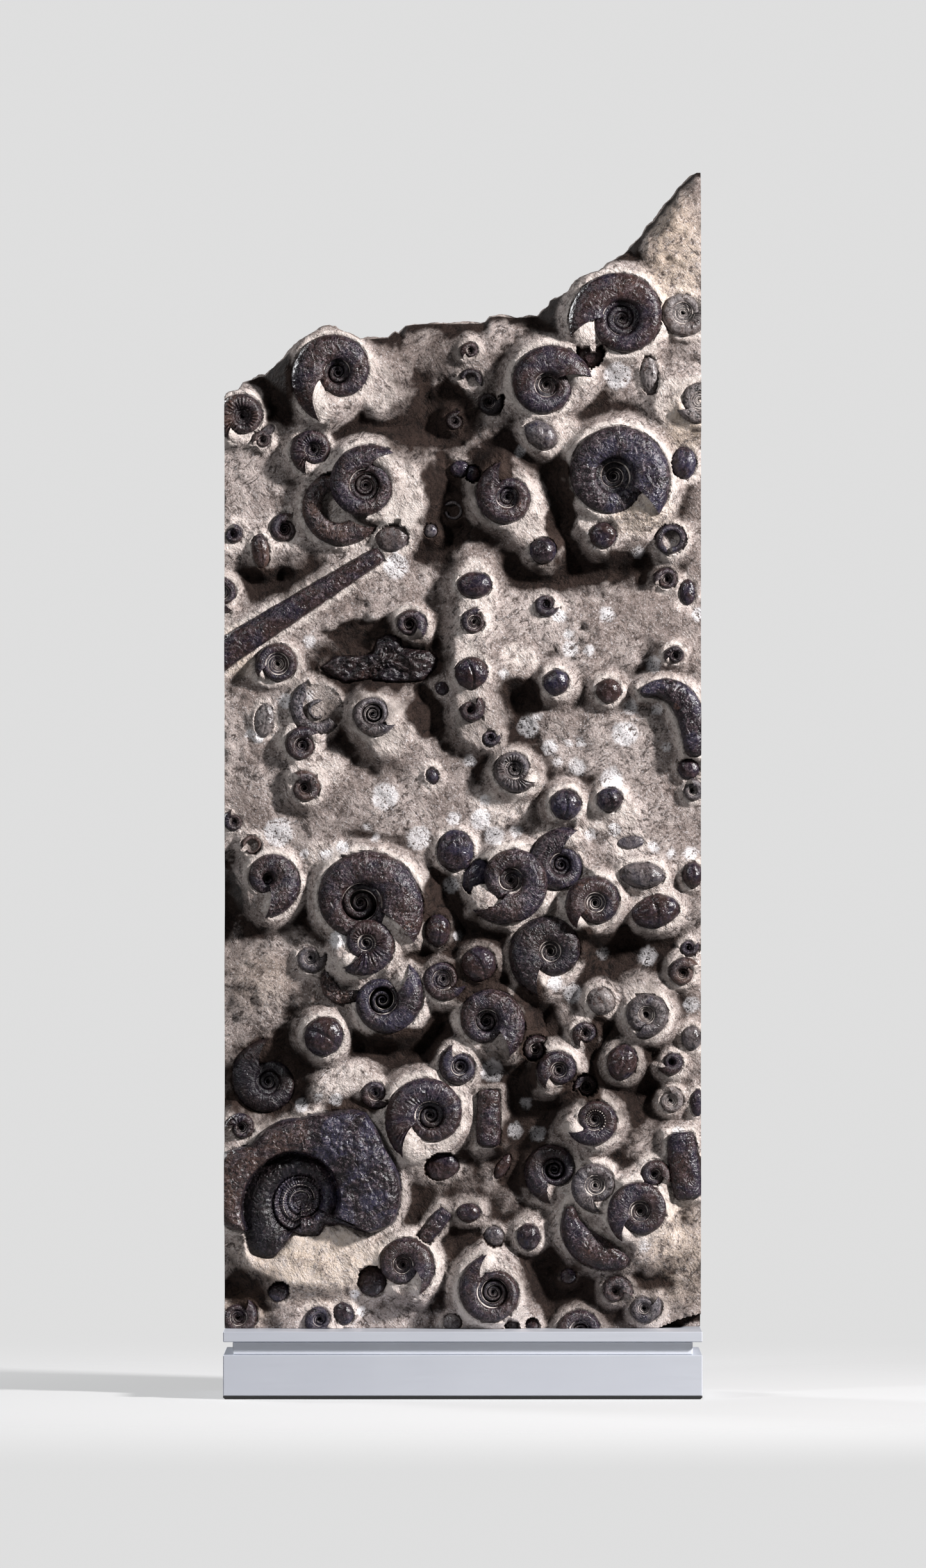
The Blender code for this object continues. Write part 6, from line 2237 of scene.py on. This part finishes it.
@dataclass(frozen=True)
class LimestoneFinish:
    """Weathered limestone: cream where it was smoothed round a shell, rough and brown elsewhere, with painted
    shade in hollows.
    """

    cream: tuple = (0.465, 0.410, 0.376)
    stone: tuple = (0.212, 0.170, 0.153)
    pale: tuple = (0.365, 0.311, 0.288)
    brown: tuple = (0.042, 0.031, 0.027)
    # Tint of the painted shade in the hollows.
    painted_shade: tuple = (0.064, 0.046, 0.039)
    tan: tuple = (0.45, 0.36, 0.28)
    white: tuple = (0.70, 0.68, 0.69)
    specular: float = 0.12

    def material(self) -> Material:
        """Builds the material.

        Returns:
            The material.
        """
        lay = Palette.start("limestone")
        where = lay.coordinates()
        one_way = lay.noise(lay.coordinates((1.0, 1.0, 0.48), (0.0, 52.0, 0.0)), 74.0, 4.0, 0.66, 0.9)
        other_way = lay.noise(lay.coordinates((1.0, 1.0, 0.48), (0.0, -38.0, 0.0)), 74.0, 4.0, 0.66, 0.9)
        patch = lay.between(lay.noise(where, 17.0, 3.0, 0.5), 0.44, 0.56)
        strokes = one_way * patch + other_way * (1.0 - patch)
        broad = lay.noise(where, 15.0, 6.0, 0.62)
        grain = lay.noise(where, 520.0, 2.0, 0.6)
        blotch = lay.noise(where, 130.0, 7.0, 0.74, 0.5)
        # Share of painted shade.
        hollow = lay.painted("hollow")
        # Cream where the rim paint lies: the smoothed rock's own colour, with painted light on its raised
        # parts.
        smooth = lay.between(lay.painted("rim") + blotch * 0.4, 0.46, 0.92)
        coarse = 1.0 - smooth * 0.72
        rugged = lay.between(broad, 0.40, 0.58) * 0.6 + 0.4
        chalk = lay.painted("spot") * lay.between(grain * 0.5 + strokes * 0.5, 0.40, 0.50)
        colour = lay.coats(
            lay.mix(lay.between(broad + blotch * 0.5 - 0.25, 0.40, 0.62), self.stone, self.pale),
            # Less cream under the painted shade.
            (smooth * (1.0 - hollow * 0.5), self.cream),
            (lay.painted("tan") * lay.between(blotch, 0.3, 0.6) * 0.75, self.tan),
            (lay.between(blotch, 0.46, 0.37) * coarse * 0.8, self.brown),
            (lay.between(strokes, 0.48, 0.37) * (coarse * 0.75 + 0.25) * rugged * 0.85, self.brown),
            (lay.between(strokes, 0.54, 0.65) * rugged * 0.55, self.cream),
            (lay.between(grain, 0.44, 0.34) * coarse * 0.6, self.brown),
            (lay.between(grain, 0.58, 0.68) * 0.4, self.white),
            # Painted shade, multiplied over the hollows.
            (lay.between(hollow + broad * 0.3, 0.28, 0.85), self.painted_shade, "MULTIPLY"),
            (chalk * 0.75, self.white),
        )
        height = strokes * (1.0 - smooth * 0.6) * 1.15 + grain * 0.30 + blotch * (1.0 - smooth * 0.6) * 1.2
        roughness = grain * 0.2 + 0.72
        lay.shader.inputs["Specular IOR Level"].default_value = self.specular
        return lay.finish(colour, roughness, height, 0.0040, 1.0)


@dataclass(frozen=True)
class SawnStoneFinish:
    """Limestone cut by a saw: even, with faint straight marks."""

    stone: tuple = (0.27, 0.235, 0.205)
    dark: tuple = (0.15, 0.125, 0.108)
    fleck: tuple = (0.46, 0.42, 0.38)

    def material(self) -> Material:
        """Builds the material.

        Returns:
            The material.
        """
        lay = Palette.start("sawn_limestone")
        where = lay.coordinates()
        marks = lay.noise(lay.coordinates((1.0, 1.0, 0.04)), 30.0, 3.0, 0.5)
        mottle = lay.noise(where, 48.0, 7.0, 0.65, 0.3)
        grain = lay.noise(where, 700.0, 3.0, 0.7)
        colour = lay.mix(lay.between(mottle, 0.35, 0.65), self.dark, self.stone)
        colour = lay.mix(lay.between(grain, 0.6, 0.75) * 0.4, colour, self.fleck)
        return lay.finish(colour, grain * 0.15 + 0.62, marks * 0.5 + grain * 0.3, 0.0006, 0.6)


@dataclass(frozen=True)
class SeamFinish:
    """Cream rock that is left in the seams of a shell."""

    cream: tuple = (0.46, 0.41, 0.375)
    dull: tuple = (0.10, 0.080, 0.073)
    specular: float = 0.15

    def material(self) -> Material:
        """Builds the material.

        Returns:
            The material.
        """
        lay = Palette.start("seam_rock")
        where = lay.coordinates()
        patch = lay.noise(where, 120.0, 4.0, 0.6)
        grain = lay.noise(where, 900.0, 3.0, 0.7)
        colour = lay.mix(lay.between(patch, 0.38, 0.60), self.dull, self.cream)
        lay.shader.inputs["Specular IOR Level"].default_value = self.specular
        return lay.finish(colour, grain * 0.2 + 0.65, grain, 0.0004)


@dataclass(frozen=True)
class ShellFinish:
    """Fossil shell: dark purplish brown with a dull gloss, flaked, with fine pale cracks and flecks; painted
    shade darkens its pits.
    """

    dark: tuple = (0.0040, 0.0026, 0.0036)
    mid: tuple = (0.0265, 0.0155, 0.0192)
    blue: tuple = (0.0165, 0.0145, 0.0300)
    grey: tuple = (0.17, 0.153, 0.148)
    brown: tuple = (0.060, 0.034, 0.026)
    rust: tuple = (0.085, 0.036, 0.020)
    flake: tuple = (0.100, 0.070, 0.084)
    pale: tuple = (0.52, 0.47, 0.45)
    # Tint of the painted shade in navels and on shaded shells.
    pit: tuple = (0.30, 0.27, 0.27)
    specular: float = 0.30

    def material(self) -> Material:
        """Builds the material.

        Returns:
            The material.
        """
        lay = Palette.start("fossil_shell")
        where = lay.coordinates()
        broad = lay.noise(where, 30.0, 6.0, 0.62, 0.6)
        mottle = lay.noise(where, 150.0, 5.0, 0.62, 1.0)
        fine = lay.noise(where, 330.0, 3.0, 0.6, 1.2)
        pits = lay.noise(where, 640.0, 2.0, 0.6)
        growth = lay.noise(lay.wound(9.0, 1.2), 1.6, 3.0, 0.6, 0.3)
        cracks = lay.cells(lay.coordinates((1.0, 1.0, 1.0), (20.0, 30.0, 10.0)), 125.0) + mottle * 0.16
        warm, flaky = lay.painted("warm"), 1.0 - lay.painted("smooth") * 0.65
        line = lay.between(cracks, 0.106, 0.090) * lay.between(broad, 0.46, 0.60)
        flecks = lay.between(fine, 0.59, 0.65) * lay.between(mottle, 0.46, 0.60)
        scratch = lay.between(growth, 0.60, 0.70) * lay.between(pits, 0.46, 0.56)
        colour = lay.coats(
            lay.mix(lay.between(mottle * 0.4 + growth * 0.3 + fine * 0.3, 0.42, 0.59), self.dark, self.mid),
            (lay.between(broad, 0.44, 0.60) * (0.7 - warm * 0.8), self.blue),
            (warm * lay.between(broad, 0.62, 0.36) * 0.9, self.brown),
            (lay.between(broad, 0.36, 0.28) * lay.between(mottle, 0.42, 0.58) * 0.7, self.rust),
            (lay.painted("grey") * lay.between(mottle, 0.3, 0.6) * 0.8, self.grey),
            (lay.between(fine, 0.48, 0.40) * flaky * 0.9, self.dark),
            (line * 0.06, self.pale),
            (lay.between(fine * 0.6 + mottle * 0.4, 0.54, 0.60) * flaky * 0.38, self.flake),
            (flecks * flaky * 0.16, self.pale),
            (scratch * 0.22, self.pale),
            # Painted shade, multiplied in.
            (lay.painted("pit"), self.pit, "MULTIPLY"),
        )
        facets = lay.cells(lay.coordinates((1.0, 1.0, 1.5), (0.0, 40.0, 0.0)), 150.0, "F1")
        swells = lay.noise(where, 120.0, 1.5, 0.5, 1.2)
        height = (swells * 1.1 + fine * 0.30 + facets * 0.36) * (1.0 - lay.painted("smooth") * 0.6)
        height = height + growth * 0.35
        roughness = lay.between(mottle, 0.35, 0.65) * 0.16 + flaky * 0.05 + lay.painted("pit") * 0.06 + 0.17
        lay.shader.inputs["Specular IOR Level"].default_value = self.specular
        return lay.finish(colour, roughness, height, 0.0025, 1.0)


@dataclass(frozen=True)
class MetalFinish:
    """Satin metal with a fine grain along the plinth."""

    name: str
    colour: tuple
    shade: tuple
    metallic: float
    rough: float

    def material(self) -> Material:
        """Builds the material.

        Returns:
            The material.
        """
        lay = Palette.start(self.name)
        brushed = lay.noise(lay.coordinates((1.0, 0.03, 0.03)), 14.0, 3.0, 0.6)
        cloud = lay.noise(lay.coordinates(), 5.0, 3.0, 0.5)
        colour = lay.mix(lay.between(cloud, 0.3, 0.7), self.shade, self.colour)
        lay.shader.inputs["Metallic"].default_value = self.metallic
        return lay.finish(colour, brushed * 0.10 + self.rough, brushed, 0.00004, 0.4)


@dataclass(frozen=True)
class RubberFinish:
    """Black rubber with a fine grain."""

    dark: tuple = (0.006, 0.006, 0.006)
    pale: tuple = (0.02, 0.02, 0.02)

    def material(self) -> Material:
        """Builds the material.

        Returns:
            The material.
        """
        lay = Palette.start("foot_rubber")
        grain = lay.noise(lay.coordinates(), 900.0, 3.0, 0.6)
        colour = lay.mix(grain, self.dark, self.pale)
        return lay.finish(colour, grain * 0.2 + 0.5, grain, 0.0001)


@dataclass
class Studio:
    """Camera, light and floor of the picture."""

    frame_height: float = 1.6394
    centre_height: float = 0.6415
    centre_x: float = 0.0003
    distance: float = 13.7
    shell_front: float = 0.06
    sensor: float = 36.0
    backdrop: tuple = (0.735, 0.735, 0.735)
    ambient: tuple = (0.95, 0.97, 1.0)
    ambient_strength: float = 0.075
    paper: tuple = ((0.50, 0.50, 0.50), (0.53, 0.53, 0.53))
    floor_radius: float = 1.6
    # Name, place, target, size in metres, watts and tint.
    lamps: tuple = (
        ("key", (3.4, -2.2, 2.5), (0.0, 0.0, 0.62), 0.45, 600.0, (1.0, 0.98, 0.985)),
        ("card", (-2.9, -3.2, 3.2), (0.0, 0.0, 0.6), 0.6, 100.0, (0.95, 0.97, 1.0)),
        ("rear", (-2.6, 2.4, 2.2), (0.0, 0.0, 0.6), 0.9, 110.0, (0.97, 0.98, 1.0)),
    )

    def camera(self) -> None:
        """A level camera with a long lens, square on to the front."""
        data = bpy.data.cameras.new("camera")
        data.sensor_width = self.sensor
        data.lens = self.sensor * (self.distance - self.shell_front) / self.frame_height
        data.clip_start, data.clip_end = 0.1, 100.0
        camera = bpy.data.objects.new("camera", data)
        camera.location = (self.centre_x, -self.distance, self.centre_height)
        camera.rotation_euler = (math.radians(90.0), 0.0, 0.0)
        bpy.context.scene.collection.objects.link(camera)
        bpy.context.scene.camera = camera

    def lamp(self, name: str, place: tuple, target: tuple, size: float, watts: float, tint: tuple) -> None:
        """A square soft light aimed at a point.

        Args:
            name: its name.
            place: where it hangs.
            target: the point that it is aimed at.
            size: length of its sides, in metres.
            watts: its power.
            tint: its colour.
        """
        data = bpy.data.lights.new(name, "AREA")
        data.shape = "SQUARE"
        data.size = size
        data.energy = watts
        data.color = tint
        lamp = bpy.data.objects.new(name, data)
        lamp.location = place
        lamp.rotation_euler = (Vector(target) - Vector(place)).to_track_quat("-Z", "Y").to_euler()
        lamp.visible_camera = False
        bpy.context.scene.collection.objects.link(lamp)

    def world(self) -> None:
        """A plain pale backdrop to the camera, and a dimmer even light to everything else."""
        bpy.context.scene.view_settings.view_transform = "Standard"
        world = bpy.data.worlds.new("studio")
        bpy.context.scene.world = world
        world.use_nodes = True
        tree = world.node_tree
        shown = tree.nodes["Background"]
        shown.inputs["Color"].default_value = (*self.backdrop, 1.0)
        colour = (*self.ambient, 1.0)
        ambient = add_node(tree, "ShaderNodeBackground", Color=colour, Strength=self.ambient_strength)
        mix = tree.nodes.new("ShaderNodeMixShader")
        seen = add_node(tree, "ShaderNodeLightPath").outputs["Is Camera Ray"]
        for start, end in zip((seen, ambient.outputs[0], shown.outputs[0]), mix.inputs):
            tree.links.new(start, end)
        tree.links.new(mix.outputs[0], tree.nodes["World Output"].inputs["Surface"])

    def floor(self) -> None:
        """A pale round floor whose edge fades out."""
        work = bmesh.new()
        bmesh.ops.create_circle(work, cap_ends=True, segments=96, radius=self.floor_radius)
        mesh = bpy.data.meshes.new("floor")
        work.to_mesh(mesh)
        work.free()
        lay = Palette.start("floor_paper")
        grain = lay.noise(lay.coordinates(), 300.0, 3.0, 0.5)
        colour = lay.mix(grain, *self.paper)
        lay.finish(colour, grain * 0.1 + 0.75, grain, 0.0001)
        around = lay.coordinates((self.floor_radius - 0.02,) * 3)
        gradient = add_node(lay.tree, "ShaderNodeTexGradient", gradient_type="SPHERICAL", Vector=around)
        fade = lay.between(Term(lay.tree, gradient.outputs["Fac"]), 0.0, 0.75) * 0.5
        lay.tree.links.new(fade.socket, lay.shader.inputs["Alpha"])
        mesh.materials.append(lay.material)
        floor = bpy.data.objects.new("floor", mesh)
        bpy.context.scene.collection.objects.link(floor)

    def build(self) -> None:
        """Sets up the whole studio."""
        self.camera()
        self.world()
        self.floor()
        for lamp in self.lamps:
            self.lamp(*lamp)


def dress_plinth() -> None:
    """Gives the plinth's solids their finishes."""
    pale = MetalFinish("satin_metal", (0.54, 0.56, 0.605), (0.50, 0.52, 0.57), 0.6, 0.40).material()
    dark = MetalFinish("neck_metal", (0.62, 0.64, 0.68), (0.58, 0.60, 0.64), 0.5, 0.42).material()
    rubber = RubberFinish().material()
    for node, finish, slot in (
        ("plinth_block", pale, "plinth_metal"), ("plinth_cap", pale, "plinth_metal"),
        ("plinth_neck", dark, "plinth_dark_metal"), ("foot_pad", rubber, "foot_rubber"),
    ):
        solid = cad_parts[node]
        solid.data.materials.clear()
        solid.data.materials.append(finish)


def write_sizes() -> None:
    """Updates the view layer."""
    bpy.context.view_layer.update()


def main() -> None:
    """Builds the studio, the rock, the shells and the plinth's finishes."""
    logging.basicConfig(level=logging.INFO, format="%(name)s: %(message)s")
    Studio().build()
    stone = LimestoneFinish().material()
    sawn = SawnStoneFinish().material()
    seam_rock = SeamFinish().material()
    shell = ShellFinish().material()
    dress_plinth()

    rock = RockBuilder(Relief(), stone, sawn).mesh()
    new_piece("limestone_slab", rock, "limestone", "rock_slab")
    log.info("slab: %d faces", len(rock.polygons))

    coils = CoilBuilder(CoilTree(), BeadTree(), shell, seam_rock)
    for coil in COILS:
        whole = joined(coil.name + "_shell", coils.parts(coil))
        new_piece(coil.name + "_shell", whole, "dark_shell", coil.name)
    halves = SMALL_COILS[::2], SMALL_COILS[1::2]
    for name, shells in zip(("small_coiled_shells_a", "small_coiled_shells_b"), halves):
        small = [part for coil in shells for part in coils.parts(coil)]
        new_piece(name, joined(name, small), "dark_shell")
    log.info("%d coiled shells", len(COILS) + len(SMALL_COILS))

    domes = DomeBuilder(shell)
    for number, dome in enumerate(ROUND_SHELLS):
        new_piece(dome.name + "_shell", domes.mesh(dome, number * 5.1), "grey_shell", dome.name)
    small = [domes.mesh(dome, 90.0 + number * 5.1) for number, dome in enumerate(SMALL_DOMES)]
    new_piece("small_round_shells", joined("small_round_shells", small), "grey_shell")
    log.info("%d round shells", len(ROUND_SHELLS) + len(SMALL_DOMES))

    ribbons = RibbonBuilder(shell)
    for number, ribbon in enumerate(RIBBONS):
        new_piece(ribbon.name + "_shell", ribbons.mesh(ribbon, number * 9.0), "dark_shell", ribbon.name)
    small = [ribbons.mesh(ribbon, 60.0 + number * 9.0) for number, ribbon in enumerate(SMALL_RIBBONS)]
    fragments = FragmentBuilder(shell)
    small += [fragments.mesh(piece, 5.0 + number * 9.0) for number, piece in enumerate(FRAGMENTS)]
    new_piece("small_fragments", joined("small_fragments", small), "dark_shell")
    log.info("%d straight shells and fragments", len(RIBBONS) + len(SMALL_RIBBONS))

    giant = GiantBuilder(shell, seam_rock)
    whole = joined("giant_ammonite_shell", [giant.mesh(), *giant.seams()])
    new_piece("giant_ammonite_shell", whole, "dark_shell", "giant_ammonite")
    log.info("giant: %d faces", len(whole.polygons))
    write_sizes()


if __name__ == "__main__":
    main()
